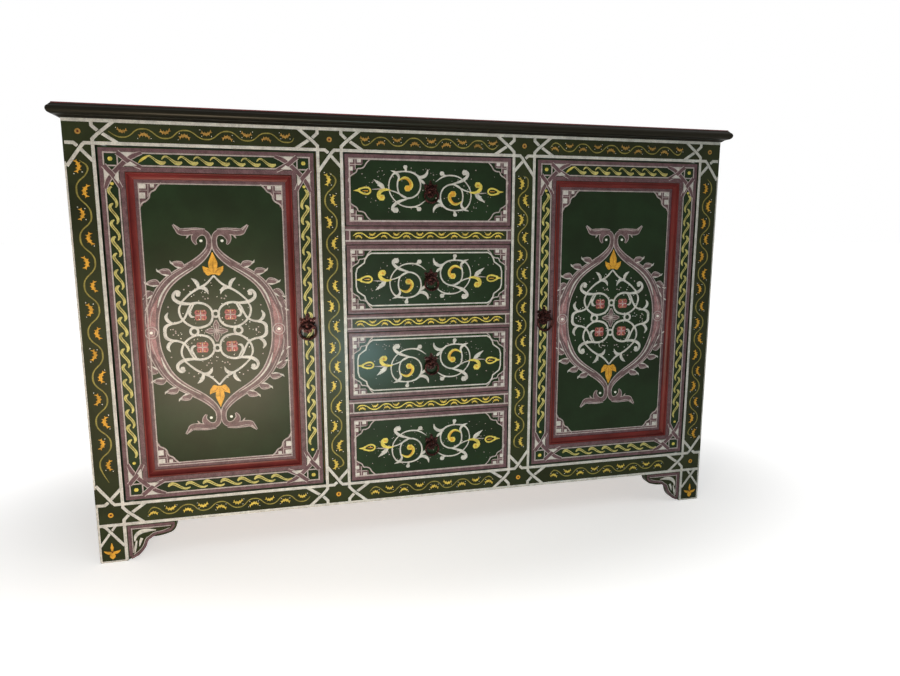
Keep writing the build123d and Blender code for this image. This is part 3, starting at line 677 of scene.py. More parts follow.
def paint_dividers():
    """Each divider has mauve edges with a pale line inside, and a close vine on green between."""
    edge_middle, line_middle, line_width = 16.6, 12, 3.4
    end_middle, end_line, end_width, half_end = 191, 185.6, 2.6, 17
    swing, stem_width = 5.6, 2.6
    art = Painting()
    for number in range(3):
        low = edge(f"{DRAWERS[number + 1]}_front", 1, 2)
        high = edge(f"{DRAWERS[number]}_front", 0, 2)
        band = art.at(0, (low + high) / 2)
        for rise in (-1, 1):
            up = rise * edge_middle
            band.line("mauve", (1 - INNER_IN, up), (INNER_IN - 1, up), 7)
            up = rise * line_middle
            band.line("pale", (1 - INNER_IN, up), (INNER_IN - 1, up), line_width)
        for flip in (-1, 1):
            across = flip * end_middle
            band.line("mauve", (across, -half_end), (across, half_end), 8)
            across = flip * end_line
            band.line("pale", (across, -line_middle), (across, line_middle), end_width)
        run = (-178, -164, 164, 13, 1, 178)
        stem = band.at(0, 0, swap=True)
        vine(stem, run, swing, stem_width, 0.6, 30 + number, ("yellow", "gold"))
    art.lay("dividers", "carcass", FRONT)


# ---------------------------------------------------------------- doors

OUTER_BORDER = 6.2  # from the door's edge to the middle of its outer border
BAND_EDGE = 11.8  # to the middle of the pale line at the band's outer side
BAND_MIDDLE = 24.4
BAND_INNER = 37.2  # to the middle of the pale line at its inner side
INNER_BORDER = 44.6  # to the middle of the border beside the moulding
INNER_BORDER_WIDTH = 9.4
FIELD_INSET = 64.0  # to the edge of the panel that shows


def border_lines(art, name, box, inset, width, level=None):
    """The four sides of a rectangle that lies inset from a box, each run to the corner's outer edge."""
    left, right, low, high = box[0] + inset, box[1] - inset, box[2] + inset, box[3] - inset
    half = width / 2
    for up in (low, high):
        art.line(name, (left - half, up), (right + half, up), width, level)
    for across in (left, right):
        art.line(name, (across, low - half), (across, high + half), width, level)


def edged(art, points, widths, level, rim=3.2, fill="mauve"):
    """A strand with pale edges, one level over another."""
    art.stroke("under", points, [w + rim for w in widths], level=level)
    art.stroke(fill, points, widths, level=level + 1)


def band_knot(art):
    """Mauve strands cross where a band meets a corner square. Drawn from the square's middle, with the
    band running off along the first direction."""
    edged(art, [(15, 17), (22, 10), (31, 1.5), (44, -7), (60, -13.5)], [8, 8, 8, 7.6, 5], 1)
    edged(art, [(13, -13), (22, -6), (31, 2), (43, 9), (58, 16.5)], [8, 8, 8, 7.6, 6], 3)
    art.stroke("cream", [(37.5, 5), (37.5, 13)], [2, 25], straight=True, level=5)
    art.stroke("cream", [(32, -4.6), (32, -13)], [2, 22], straight=True, level=5)


ROPE_TURN = 34.5  # the length of rope that a link takes up as it is drawn
ROPE_SWING = 0.9  # how far a link swings to its sides, against how it is drawn
UPRIGHT_TURN, TOP_TURN, BOTTOM_TURN = 33.6, 31.5, 37
ROPE_LINK = ((0, -1), (3, -5.5), (8, -8), (14.5, -5), (22, 1), (29, 5.6), (36, 7), (43, 4))
UPRIGHT_ROPE = (2.5, 5.5, 6.4, 6.2, 5.8, 5.8, 5.4, 2.4)
TOP_ROPE = (1.5, 3, 3.4, 3.6, 4.6, 6.8, 7.6, 3.2)
BOTTOM_ROPE = (2.5, 6, 7, 6.2, 5.4, 4.8, 4.6, 2.4)


def rope(art, turn, count, widths, seed):
    """A chain of S-shaped links along the first direction, like a twisted ribbon with a darker line
    down its slope. Each link starts beside the end of the one before."""
    rng = hand(seed)
    grown = turn / ROPE_TURN
    for number in range(count):
        start = number * turn + rng.uniform(-0.8, 0.8)
        load = rng.uniform(0.9, 1.1)
        link = [(start + along * grown, across * ROPE_SWING) for along, across in ROPE_LINK]
        art.stroke("straw", link, [width * load for width in widths])
        art.stroke("shade", link[2:6], [0.6, 1.5, 1.5, 0.6], level=4)


def paint_ropes(art, flip):
    """The ropes of a door's four bands. An upright one runs down, and a level one to the right."""
    high, low = DOOR_HIGH - 80, DOOR_LOW + 86
    for across, lean in ((DOOR_OUT - BAND_MIDDLE, -1), (DOOR_IN + BAND_MIDDLE, -flip)):
        upright = art.at(across, high, flip=lean, rise=-1, swap=True)
        rope(upright, UPRIGHT_TURN, 17, UPRIGHT_ROPE, int(across))
        for up in (high + 6, low):
            art.dot("yellow", across, up, 3.2)
    start = DOOR_OUT - 90 if flip < 0 else DOOR_IN + 87
    top = art.at(start, DOOR_HIGH - BAND_MIDDLE, flip=flip, rise=-1)
    rope(top, TOP_TURN, 8, TOP_ROPE, 5)
    top.stroke("yellow", [(-13, 7), (-8, 2), (2, -5), (9, -9)], [0.8, 5, 5, 0.8])
    bottom = art.at(start, DOOR_LOW + BAND_MIDDLE, flip=flip, rise=-1)
    rope(bottom, BOTTOM_TURN, 7, BOTTOM_ROPE, 6)


def paint_door_frame(name, flip):
    """Borders, corner squares, knots and ropes. flip is -1 on the left door, hinged at its left."""
    art = Painting().at(0, 0, flip=flip)
    door = (DOOR_IN, DOOR_OUT, DOOR_LOW, DOOR_HIGH)
    thin = brush("line_width")
    border_lines(art, "mauve", door, OUTER_BORDER, brush("border_width"))
    border_lines(art, "pale", door, BAND_EDGE, thin, level=1)
    border_lines(art, "pale", door, BAND_INNER, thin, level=1)
    border_lines(art, "mauve", door, INNER_BORDER, INNER_BORDER_WIDTH)
    for across, inwards in ((DOOR_OUT - BAND_MIDDLE, -1), (DOOR_IN + BAND_MIDDLE, 1)):
        for up, rise in ((DOOR_LOW + BAND_MIDDLE, 1), (DOOR_HIGH - BAND_MIDDLE, -1)):
            corner = art.at(across, up, flip=inwards, rise=rise)
            for square in (corner, corner.at(0, 0, swap=True)):
                band_knot(square)
                square.line("pale", (13.4, -13), (13.4, 12), thin, level=1)
            corner.dot("yellow", 0, 0, 4.4)
    paint_ropes(art, flip)
    art.lay(f"{name}_frame_paint", name, FRONT)


def panel_corner(art):
    """The corner of a door's field: a stepped cusp filled with mauve, and three cream squares. Drawn from
    the corner, both directions inwards."""
    for start, stop, width in (
        ((0, 6), (36, 6), 12),
        ((0, 16), (25, 16), 12),
        ((0, 26), (20, 26), 10),
        ((0, 35), (14, 35), 10),
        ((0, 43), (7, 43), 8),
    ):
        art.line("mauve", start, stop, width, level=1)
    cusp = [(46, -1), (38, 6), (32, 14), (26, 17), (22, 22)]
    cusp += [(20.5, 29), (16, 35), (9, 39), (3.5, 45), (0.5, 54)]
    art.stroke("pale", cusp, 3, level=2)
    art.line("cream", (1.5, 6.5), (15.5, 6.5), 9.4)
    art.line("cream", (24, 5.5), (31.5, 5.5), 7)
    art.line("cream", (1.5, 25.5), (13.5, 25.5), 12)
    art.stroke("pale", [(20, 1), (19.5, 14), (18, 28)], 1.4, level=3)
    art.stroke("pale", [(1, 14.5), (18, 14.5)], 1.2, level=3)


def oval_quarter(art):
    """A quarter of the pointed oval with its curled tail, drawn from the oval's middle."""
    run = [(5, 193), (5.4, 186), (7.5, 179), (14, 169), (26, 156.5), (42, 144.5), (63, 131.5)]
    run += [(84, 116.5), (102, 98), (115, 76), (124, 54), (130, 28), (131.5, -2)]
    widths = [7.8, 8.4, 9, 10.5, 12.5, 14, 15.5, 17.5, 19.5, 21.5, 23, 24.5, 25]
    art.stroke("under", run, [w + 4.4 for w in widths])
    art.stroke("rose", run, widths)
    art.stroke("rose", [(128, 90), (138, 74), (143, 52), (144.5, 28), (144.5, -1)], [2, 10, 13, 13, 13])
    art.stroke("pink", [(114, 78), (124, 52), (131, 26), (134, -1)], [1, 10, 17, 19])
    light = [(40, 141), (60, 129), (79, 115.5), (94, 101), (105, 86), (112, 71), (117, 54)]
    art.stroke("cream", light, [0.8, 1.9, 2.4, 3, 3.8, 3.8, 1], level=4)
    art.stroke("pale", [(9, 178), (15, 170), (26, 159), (36, 151)], [0.6, 1.5, 1.5, 0.6])
    outside = [(50, 146.5), (66, 136), (88, 121.5), (107, 101.5), (121, 79), (130.5, 56)]
    art.stroke("pale", outside, [0.6, 1.4, 1.8, 1.6, 1.2, 0.6])
    for arc in ([(122, 60), (129, 44), (133, 28), (134, 14)], [(137, 58), (141, 42), (143, 26), (142, 14)]):
        art.stroke("pale", arc, [0.6, 1.8, 1.8, 0.6])
    tail = [(5, 189), (5.5, 200), (9, 209), (17, 213.5), (27, 211), (34, 204), (35, 196), (31, 188)]
    edged(art, tail, [8, 8.5, 9, 9.5, 10, 11, 6, 1], 0, fill="rose")
    leaf = [(12, 217), (30, 217), (50, 215), (63, 216), (68, 221), (76, 230)]
    edged(art, leaf, [6, 11, 13, 11, 7, 1], 0, fill="rose")
    art.stroke("pale", [(44, 209), (48, 205), (51, 201)], [1, 3.6, 0.8])
    art.stroke("pale", [(16, 219), (34, 220.5), (52, 218), (62, 219)], [0.6, 1.8, 1.8, 0.6])
    art.stroke("pale", [(64, 219), (69, 224), (74, 229)], [3.2, 2, 0.6])
    art.dot("white", 21.5, 196, 3)
    for across, up, turn in ((71, 145, 10), (98, 129, 4), (123, 106, -8), (136, 80, -42), (144, 55, -68)):
        oval_leaf(art, across, up, turn)


def oval_leaf(art, across, up, degrees):
    """A leaf with pale edges and a curled white tip that grows out of the oval."""
    turn = math.radians(degrees)

    def put(*points):
        return [
            (
                across + along * math.cos(turn) - aside * math.sin(turn),
                up + along * math.sin(turn) + aside * math.cos(turn),
            )
            for along, aside in points
        ]

    edged(art, put((-12, -4), (-5, 1), (4, 1.6), (12, 2)), [4, 11.5, 9.5, 2], 0, 4, "rose")
    art.stroke("cream", put((-9, -5), (-2, -5.4), (6, -4)), [0.8, 3.8, 0.8])
    art.stroke("cream", put((8, 0.4), (14, 2.4), (17, 7)), [1, 4, 0.6])
    art.stroke("pale", put((-8, 4), (1, 4.6), (9, 3)), [0.6, 1.6, 0.6], level=2)


def arabesque_quarter(art):
    """A quarter of the interlace inside the oval, drawn from the oval's middle."""

    def vary(points, *widths):
        art.stroke("cream", points, widths)

    vary([(0, 121), (17, 103), (32, 94.5), (48, 84.5), (68, 66)], 3.4, 4.4, 4.8, 4.4, 3.6)
    vary([(33, 93), (34, 104), (39, 111), (46, 116)], 4, 8, 6.6, 1)
    vary([(33, 94), (24, 95.5), (16.5, 90.5), (12.5, 81)], 4, 8, 7, 1)
    ring = [(48, 61.5), (33, 62.5), (17, 57), (7.6, 45), (7, 29), (14, 16), (27, 9.5), (41, 8.5)]
    ring += [(55, 14), (67, 25), (73.5, 38), (74, 51), (70, 60)]
    vary(ring, 4.6, 5, 4.8, 4.2, 4.4, 4.8, 4.8, 4.4, 4.2, 4.6, 4.4, 4.2, 3)
    strand = [(48, 61.5), (54.5, 51), (60, 38), (68, 26), (80, 20), (94, 17.5), (104, 11), (106, 0)]
    vary(strand, 3, 4.2, 4.2, 4.6, 4.4, 5.4, 7.2, 6.6)
    hook = [(40, 61), (54, 61), (68, 62.5), (78, 67), (84.5, 75), (82, 85), (75, 88.5), (69.5, 84)]
    vary(hook, 3.6, 5.6, 7.4, 7.2, 6.6, 5.6, 5, 4.4)
    art.dot("cream", 74.5, 81.5, 4.8)
    vary([(89, 19), (98, 25), (101.5, 34), (97, 43)], 3.6, 7, 6.8, 1.6)
    vary([(43.5, 61), (50, 49), (53.5, 41), (50, 33), (44, 32)], 3, 4, 5.5, 5, 2)
    for across, up in ((89, 6), (84, 2), (24, 76), (52, 100), (62, 92), (14, 72), (20, 71), (96, 55)):
        art.dot("pale", across, up, 1.5)
    pink_flower(art.at(31, 35.5))


def pink_flower(art):
    """A flower of four rounded petals, mottled red, with a pale cross."""
    for across, up in ((-5.4, 5.4), (5.4, 5.4), (-5.4, -5.4), (5.4, -5.4)):
        art.dot("coral", across, up, 6.8)
        art.dot("red", across * 1.3, up * 1.2, 1.8, level=3)
        art.dot("yellow", across * 0.8, up * 1.6, 1.1, level=4)
    for turned in art.four_ways():
        turned.stroke("pale", [(0.5, 0), (5, 0), (11.5, 0)], [2.2, 2.4, 0.6], level=4)
        turned.stroke("red", [(4.5, 2.6), (9, 2)], [1.6, 0.6], level=3)


def centre_flower(art):
    """A four-pointed flower at the middle of the interlace, grey mauve with pale edges."""
    for turned in art.four_ways():
        edged(turned, [(2, 0), (8, 0), (13, 0), (24, 0)], [3, 9, 11, 1], 2, 3, "rose")
        turned.stroke("pale", [(0, 0), (8, 0), (16, 0)], [3.6, 1.8, 0.6], level=4)
        turned.dot("pale", 9.5, 9.5, 1.6)
    art.dot("pale", -9.5, -9.5, 1.6)


def palmette(art):
    """A golden leaf of one tall and two side lobes, drawn from its foot."""
    art.stroke("orange", [(0, 1), (0, 12), (0, 26), (0, 49)], [10, 17, 19, 0.8])
    for flip in (-1, 1):
        side = art.at(0, 0, flip=flip)
        side.stroke("orange", [(2, 5), (9, 7), (15, 11), (21, 19)], [8, 13, 12, 1])
        side.stroke("orange", [(4, 4), (11, 1.5), (16, 4)], [4, 6, 2])
        side.stroke("red", [(3.5, 5), (8.5, 10), (13, 13)], [0.6, 1.2, 0.5])
    art.stroke("red", [(0, 4), (0, 18), (0, 30)], [0.6, 1.2, 0.5])


PANEL_SPRINKLES = 170  # tried; those outside the oval are left out
DRAWER_SPRINKLES = 110
SPRINKLE = (0.5, 1.2)  # the least and the largest radius of a sprinkled dot


def paint_panel(name, flip, centre):
    """The recessed panel: border, corners, and the pointed oval with its interlace."""
    art = Painting().at(0, 0, flip=flip)
    field = (DOOR_IN + FIELD_INSET, DOOR_OUT - FIELD_INSET, DOOR_LOW + FIELD_INSET, DOOR_HIGH - FIELD_INSET)
    thin = 2.2
    border_lines(art, "mauve", field, 3.2, 7.4)
    border_lines(art, "pale", field, 7.8, thin)
    left, right, low, high = field
    art.line("mauve", (left, low + 9), (right, low + 9), 7)
    art.line("pale", (left + 6, low + 13), (right - 6, low + 13), thin, level=4)
    for across, inwards in ((left + 6.5, 1), (right - 6.5, -1)):
        for up, rise in ((low + 12, 1), (high - 7, -1)):
            panel_corner(art.at(across, up, flip=inwards, rise=rise))
    oval = art.at(centre, OVAL_HEIGHT)
    for rise in (-1, 1):
        for side in (-1, 1):
            quarter = oval.at(0, 0, flip=side, rise=rise)
            oval_quarter(quarter)
            arabesque_quarter(quarter)
        oval.ring("cream", 0, rise * 38, 6.8, 4.6)
        palmette(oval.at(0, rise * 123, rise=rise))
    for side in (-1, 1):
        oval.ring("cream", side * 46, 0, 8, 5)
        rings = oval.at(side * 133, 0)
        rings.ring("pale", 0, 0, 12.5, 2)
        rings.ring("pale", 0, 0, 6.6, 1.6)
        rings.dot("white", 0, 0, 3.4)
    centre_flower(oval)
    rng = hand(int(centre))
    for _ in range(PANEL_SPRINKLES):
        across, up = rng.uniform(-104, 104), rng.uniform(-112, 112)
        if abs(across) / 112 + abs(up) / 200 < 0.9:
            oval.dot("white", across, up, rng.uniform(*SPRINKLE))
    art.lay(f"{name}_panel_paint", name, PANEL_FACE)


# ---------------------------------------------------------------- drawers

DRAWER_BORDER = 5.2  # from a drawer's edge to the middle of its border
DRAWER_LINE = 11.2  # to the middle of the pale line inside it


def scroll_half(art, core):
    """The right half of a drawer's scrolls, drawn from the middle of the drawer's front. core is how
    thick the comma's orange middle is, against a thin one."""

    def vary(name, points, *widths):
        art.stroke(name, points, widths)

    ring = [(60, 43), (46.7, 41.7), (33.3, 35.9), (24.9, 23.3), (23.3, 9.9), (27.8, -3.4), (36.7, -11.8)]
    ring += [(50, -16.1), (62.2, -13.8), (72.2, -5.6), (76.2, 6.6)]
    ring += [(75.6, 19.9), (72.8, 30), (79, 39), (91, 44)]
    vary("cream", ring, 3, 3.4, 4, 3.5, 3.1, 3.3, 3.3, 3.5, 3.1, 3.1, 3.1, 3.3, 4.8, 6.4, 1)
    outer = [(60, 43), (69, 42), (80.4, 39.5), (89, 32.2), (95.6, 15.5), (94.4, -2.3), (87.8, -15.6)]
    outer += [(77.8, -25.6), (64.4, -33.4), (46.7, -36), (36, -35)]
    vary("cream", outer, 2.6, 3.4, 4.4, 3.2, 2.6, 2.6, 2.6, 2.6, 2.8, 3.2, 3.4)
    vary("cream", [(36, -35), (26, -31), (12, -21)], 3.4, 3, 0.8)
    vary("cream", [(36, -35), (31, -37), (27, -40)], 3.2, 3.6, 4)
    art.dot("cream", 27, -40, 5.2)
    curl = [(50, -16), (62, -20), (75, -25), (85.5, -33), (88.5, -41), (84, -47)]
    vary("cream", curl, 3.2, 4.4, 6.8, 6.8, 5.8, 3.6)
    art.dot("cream", 81, -43, 6.4)
    vary("cream", [(6.5, 48), (8.5, 39), (15.5, 32.5), (25, 31), (35, 37)], 1.4, 5.8, 7.6, 6, 3.4)
    vary("cream", [(26, 26), (17.5, 20), (12, 14)], 5, 6.2, 1.6)
    vary("cream", [(56.5, 43), (57.5, 51)], 4.4, 5.6)
    art.dot("cream", 58, 52.5, 4.5)
    comma = [(74, 21), (66.5, 27), (57.5, 29), (48.5, 23.6), (43.8, 14.5), (45.5, 7), (51, 2.5)]
    vary("yellow", comma, 1, 4, 5.4, 5.8, 6.2, 6.2, 6)
    art.dot("yellow", 53, 5.6, 7.2)
    heart = [(66, 25.4), (57.5, 27), (50, 22.4), (46, 14.5), (48, 8)]
    vary("orange", heart, 0.8 * core, 2.2 * core, 3.2 * core, 3.6 * core, 3.6 * core)
    art.dot("orange", 52.5, 5.4, 4.2 * core)
    vary("cream", [(56, -15), (68, -9), (82, -2.5), (96, 1)], 2.6, 3, 2.8, 2.2)
    vary("pale", [(96, 1), (111, 3.4), (122, 3), (134, 2.2)], 2, 2.6, 2.4, 1)
    comma = [(92, 1), (102, 2), (111, 0.6), (118, -5.5), (120, -13), (117, -19)]
    vary("yellow", comma, 2, 5, 7.5, 8.2, 6.6, 4.4)
    art.dot("yellow", 112.5, -15.6, 7.2)
    art.dot("orange", 112.8, -14.8, 3)
    vary("cream", [(106, 3), (112, 10), (119, 16), (130, 24)], 4, 10.4, 7.6, 0.8)
    vary("cream", [(112, 9), (122, 11)], 4, 1)
    bud = [(164, 0.5), (157, 4.2), (149, 6), (141, 4.6), (137.5, -1), (141, -6.6), (149, -8), (157, -5.4)]
    art.stroke("yellow", bud, 3.8, closed=True)
    vary("yellow", [(160, -0.4), (167, -0.6), (175, -1)], 6.4, 4.4, 0.8)
    vary("orange", [(143, -1.2), (155, -1)], 2.6, 1)


def drawer_corner(art):
    """The corner of a drawer's border: a stepped cusp, mauve strands and three cream squares. Drawn from
    the drawer's corner, both directions inwards."""
    for start, stop, width in (((8, 16), (41, 16), 14), ((9, 29), (25, 29), 14), ((9, 40), (19, 40), 10)):
        art.line("mauve", start, stop, width)
    cusp = [(57, 12), (49, 20), (43, 29), (36, 32), (29.5, 33), (26, 40), (17, 46), (10.5, 52), (8.5, 61)]
    art.stroke("pale", cusp, 2.6, level=2)
    art.line("cream", (9.6, 15.5), (19.4, 15.5), 9)
    art.line("cream", (28, 15.5), (37, 15.5), 8.4)
    art.line("cream", (10.6, 32.5), (18.6, 32.5), 9.4)
    art.stroke("pale", [(23.8, 11), (24, 24), (24.6, 34)], 1.6, level=3)
    art.stroke("pale", [(9, 24), (24, 24), (38, 23.6)], 1.6, level=3)


def inner_line(art, half_width, half_height):
    """A cream line round the field, with stepped cusps at its corners."""
    steps = [(-35, 0), (-27, -5), (-21, -14), (-19, -22), (-9, -29), (-3, -34), (0, -45)]
    points = []
    for flip, rise, order in ((1, 1, 1), (1, -1, -1), (-1, -1, 1), (-1, 1, -1)):
        turn = [(flip * (half_width + a), rise * (half_height + u)) for a, u in steps]
        points += turn[::order]
    art.stroke("cream", points, 3, closed=True, straight=True)


def paint_drawer(name, number):
    """A drawer's border and its pair of scrolls, which turn the other way on the top drawer."""
    art = Painting()
    low, high = edge(f"{name}_front", 0, 2), edge(f"{name}_front", 1, 2)
    half_width, half_height = edge(f"{name}_front", 1, 0), (high - low) / 2
    face = art.at(0, (low + high) / 2)
    front = (-half_width, half_width, -half_height, half_height)
    border_lines(face, "mauve", front, DRAWER_BORDER, 8.2)
    border_lines(face, "pale", front, DRAWER_LINE, 3.6, level=2)
    for flip in (-1, 1):
        for rise in (-1, 1):
            drawer_corner(face.at(flip * half_width, rise * half_height, flip=-flip, rise=-rise))
    if number in (1, 2):
        inner_line(face, half_width - 21, half_height - 19)
    turned, core = (-1, 1.45) if number == 0 else (1, 1)
    scroll_half(face.at(0, -0.3, rise=turned), core)
    scroll_half(face.at(0, -0.3, flip=-1, rise=-turned), core)
    rng = hand(70 + number)
    for _ in range(DRAWER_SPRINKLES):
        across, up = rng.uniform(-158, 158), rng.uniform(-50, 50)
        face.dot("pale", across, up, rng.uniform(*SPRINKLE))
    art.lay(f"{name}_paint", name, FRONT)


# ---------------------------------------------------------------- feet


def paint_foot(art):
    """The foot of an outer post: straps at its edges, a crossing under the rail, and a small flower."""
    outer, inner = SIDE - 2.4, POST_IN + STRAP_INSET
    art.line("cream", (outer, 2.2), (outer, BOTTOM_RAIL[1]), 4)
    art.line("cream", (inner, 2.4), (outer, 2.4), 4)
    knee = BOTTOM_RAIL[0] + 3
    first = [(inner, knee), (POST_IN + 20, knee), (POST_IN + 24, knee - 5), (outer, 39)]
    second = [(outer, knee), (SIDE - 12, knee), (SIDE - 17, knee - 4), (inner + 3, 38)]
    art.stroke("cream", first, 5, straight=True)
    art.stroke("shade", [(POST_IN + 39, 80), (POST_IN + 24, 62)], 8.6, straight=True, level=3)
    art.stroke("cream", second, 6, straight=True, level=4)
    flower = art.at(SIDE - 26, 25)
    flower.stroke("orange", [(0, 2), (0, 10), (0, 21)], [3.4, 6.4, 0.8])
    flower.stroke("orange", [(0, -1), (0, -8), (0, -12), (0, -17)], [5, 12, 11, 0.8])
    for flip in (-1, 1):
        petal = flower.at(0, 0, flip=flip)
        petal.stroke("orange", [(1, -1), (7, -1.6), (12.5, 0.4), (17, 3.6)], [4, 6.8, 5, 0.8])
    flower.dot("red", 0, 0, 2)


def paint_bracket(art):
    """The bracket beside a foot. Drawn from its inner corner, both directions away from it."""
    art.line("mauve", (2, 5), (100, 5), 6)
    art.line("mauve", (5.5, 4), (5.5, 74), 7)
    art.stroke("pale", [(9, 9.6), (92, 9.6)], 2)
    art.stroke("pale", [(10.4, 8), (10.4, 66)], 2)
    lobes = [(99, 9), (92, 18), (76, 23), (58, 26), (50, 32), (42, 38), (36, 52), (28, 63), (14, 74), (6, 78)]
    art.stroke("mauve", lobes, 5)
    art.stroke("pale", [(across - 3.4, up - 3) for across, up in lobes[1:-1]], 1.5)
    art.stroke("cream", [(15, 39), (18, 27), (28, 18.5), (42, 16), (60, 17)], [2.4, 7, 9.4, 8, 1.6])
    art.dot("shade", 77, 17, 3)
    art.stroke("cream", [(19, 38), (15.6, 54), (13, 68)], [3, 5, 1.2])
    art.stroke("cream", [(30, 33), (26.5, 42), (24, 52)], [6, 5, 1.2])


def paint_feet():
    """Both front feet and their brackets."""
    art = Painting()
    for flip in (-1, 1):
        half = art.at(0, 0, flip=flip)
        paint_foot(half)
        paint_bracket(half.at(POST_IN, BOTTOM_RAIL[0], flip=-1, rise=-1))
    art.lay("feet_paint", "carcass", FRONT)


# ---------------------------------------------------------------- the top's line


def paint_top_rim():
    """A dark red line along the top board's upper slope, at its front and both ends; it is partly a painted
    line and partly painted highlight along the slope's edge.
    """
    out, up, radius = 11.0, 26.1, 1.8
    side, front, back = SIDE + out, FRONT - out, edge("top_board", 1, 1) - 1
    height = TOP_RAIL[1] + up
    route = ((-side, back), (-side, front), (side, front), (side, back))
    spline = blank_curve("top_rim_line", "3D", radius, 2).splines.new("BEZIER")
    spline.bezier_points.add(len(route) - 1)
    spline.resolution_u = 1
    for knot, (across, deep) in zip(spline.bezier_points, route, strict=True):
        knot.co = (across * MM, deep * MM, height * MM)
        knot.handle_left_type = knot.handle_right_type = "VECTOR"
    bpy.ops.object.convert(target="MESH")
    piece = bpy.context.object
    close_seams()
    give(piece, paint("rim"))
    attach(piece, "carcass")


# ---------------------------------------------------------------- castings, nuts and screws


def apply_place(piece):
    """Lays an object's place, turn and scale into its mesh."""
    bpy.ops.object.select_all(action="DESELECT")
    piece.select_set(True)
    bpy.context.view_layer.objects.active = piece
    bpy.ops.object.transform_apply(location=True, rotation=True, scale=True)


def pick_faces(piece, wanted):
    """Leaves the piece in edit mode with the wanted faces selected."""
    bpy.ops.object.mode_set(mode="EDIT")
    bpy.ops.mesh.select_mode(type="FACE")
    bpy.ops.mesh.select_all(action="DESELECT")
    bpy.ops.object.mode_set(mode="OBJECT")
    for face in piece.data.polygons:
        face.select = wanted(face)
    bpy.ops.object.mode_set(mode="EDIT")


def join(pieces):
    """Makes one object of several: the first takes in the others."""
    bpy.ops.object.select_all(action="DESELECT")
    for piece in pieces:
        piece.select_set(True)
    bpy.context.view_layer.objects.active = pieces[0]
    bpy.ops.object.join()
    return pieces[0]


def place_copy(model, name, body, place, material, scale=1.0, turn=(0, 0, 0)):
    """Copies a model, with a mesh of its own, to a place in millimetres."""
    piece = model.copy()
    piece.data = model.data.copy()
    bpy.context.collection.objects.link(piece)
    piece.name = name
    piece.location = [part * MM for part in place]
    piece.rotation_euler = turn
    piece.scale = (scale, scale, scale)
    apply_place(piece)
    give(piece, material)
    if body:
        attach(piece, body)
    return piece


PLATE_FRONT = 2.8  # of a pull's plate, in front of the wood


def boss(across, up, half_across, half_up, out=0.8, turn=0.0, segments=12):
    """A low rounded swelling on a pull's plate, cut off flat behind."""
    bpy.ops.object.select_all(action="DESELECT")
    bpy.ops.mesh.primitive_uv_sphere_add(
        segments=segments,
        ring_count=segments // 2 + 2,
        radius=MM,
        location=(across * MM, -PLATE_FRONT * MM, up * MM),
        rotation=(0, turn, 0),
        scale=(half_across, out, half_up),
    )
    piece = bpy.context.object
    apply_place(piece)
    bpy.ops.object.mode_set(mode="EDIT")
    bpy.ops.mesh.select_all(action="SELECT")
    cut = (0, (0.1 - PLATE_FRONT) * MM, 0)
    bpy.ops.mesh.bisect(plane_co=cut, plane_no=(0, 1, 0), use_fill=True, clear_outer=True)
    bpy.ops.object.mode_set(mode="OBJECT")
    bpy.ops.object.shade_smooth_by_angle(angle=math.radians(50))
    return piece


def casting_model():
    """The relief of a pull's plate at its larger size, round the plate's middle: petals on the lobes,
    a beaded collar, two leaves on the crown and a swelling on each finial."""
    petals, petal_radius = 8, 14.2
    beads, collar_radius = 20, 10.6
    pieces = []
    for step in range(petals):
        turn = math.tau * (step + 0.5) / petals
        place = (petal_radius * math.cos(turn), petal_radius * math.sin(turn))
        pieces.append(boss(*place, 1.7, 3.1, turn=math.pi / 2 - turn))
    for step in range(beads):
        turn = math.tau * step / beads
        place = (collar_radius * math.cos(turn), collar_radius * math.sin(turn))
        pieces.append(boss(*place, 0.95, 0.95, 0.7, segments=8))
    for side in (-1, 1):
        pieces.append(boss(side * 7.6, 13.4, 5.4, 1.5, turn=side * 0.16))
        pieces.append(boss(side * 15.1, 14.6, 1.9, 1.9))
    pieces.append(boss(0, 18.6, 1.5, 3.2))
    pieces.append(boss(0, 24, 1.9, 1.9))
    pieces.append(boss(0, -15.8, 1.9, 1.9))
    return join(pieces)


def pull_wood(body):
    """The node that a body's pull is fixed to."""
    return f"{body}_stiles" if body in DOORS else f"{body}_front"


def pull_middle(body):
    """The middle of a body's pull, across and up, and how wide its plate is."""
    plate, wood = f"{body}_pull_plate", pull_wood(body)
    across = (edge(plate, 0, 0) + edge(plate, 1, 0)) / 2
    up = (edge(wood, 0, 2) + edge(wood, 1, 2)) / 2
    return across, up, edge(plate, 1, 0) - edge(plate, 0, 0)


def make_pull_castings():
    """The relief on each pull's plate, smaller on the drawers' smaller plates."""
    model = casting_model()
    largest = pull_middle(DOORS[0])[2]
    for body in (*DOORS, *DRAWERS):
        across, up, wide = pull_middle(body)
        scale = wide / largest
        place = (across, FRONT - PLATE_FRONT * (1 - scale), up)
        place_copy(model, f"{body}_pull_casting", body, place, cast_iron(), scale)
    bpy.data.objects.remove(model)


def turned_disc(sides, radius, low, high, bevel):
    """A disc or hexagon from low to high up the Z axis, its edges eased."""
    bpy.ops.object.select_all(action="DESELECT")
    bpy.ops.mesh.primitive_cylinder_add(
        vertices=sides, radius=radius * MM, depth=(high - low) * MM, location=(0, 0, (low + high) / 2 * MM)
    )
    piece = bpy.context.object
    apply_place(piece)
    bpy.ops.object.mode_set(mode="EDIT")
    bpy.ops.mesh.select_mode(type="EDGE")
    bpy.ops.mesh.select_all(action="SELECT")
    bpy.ops.mesh.bevel(offset=bevel * MM, segments=2, affect="EDGES")
    bpy.ops.object.mode_set(mode="OBJECT")
    bpy.ops.object.shade_smooth_by_angle(angle=math.radians(30))
    return piece


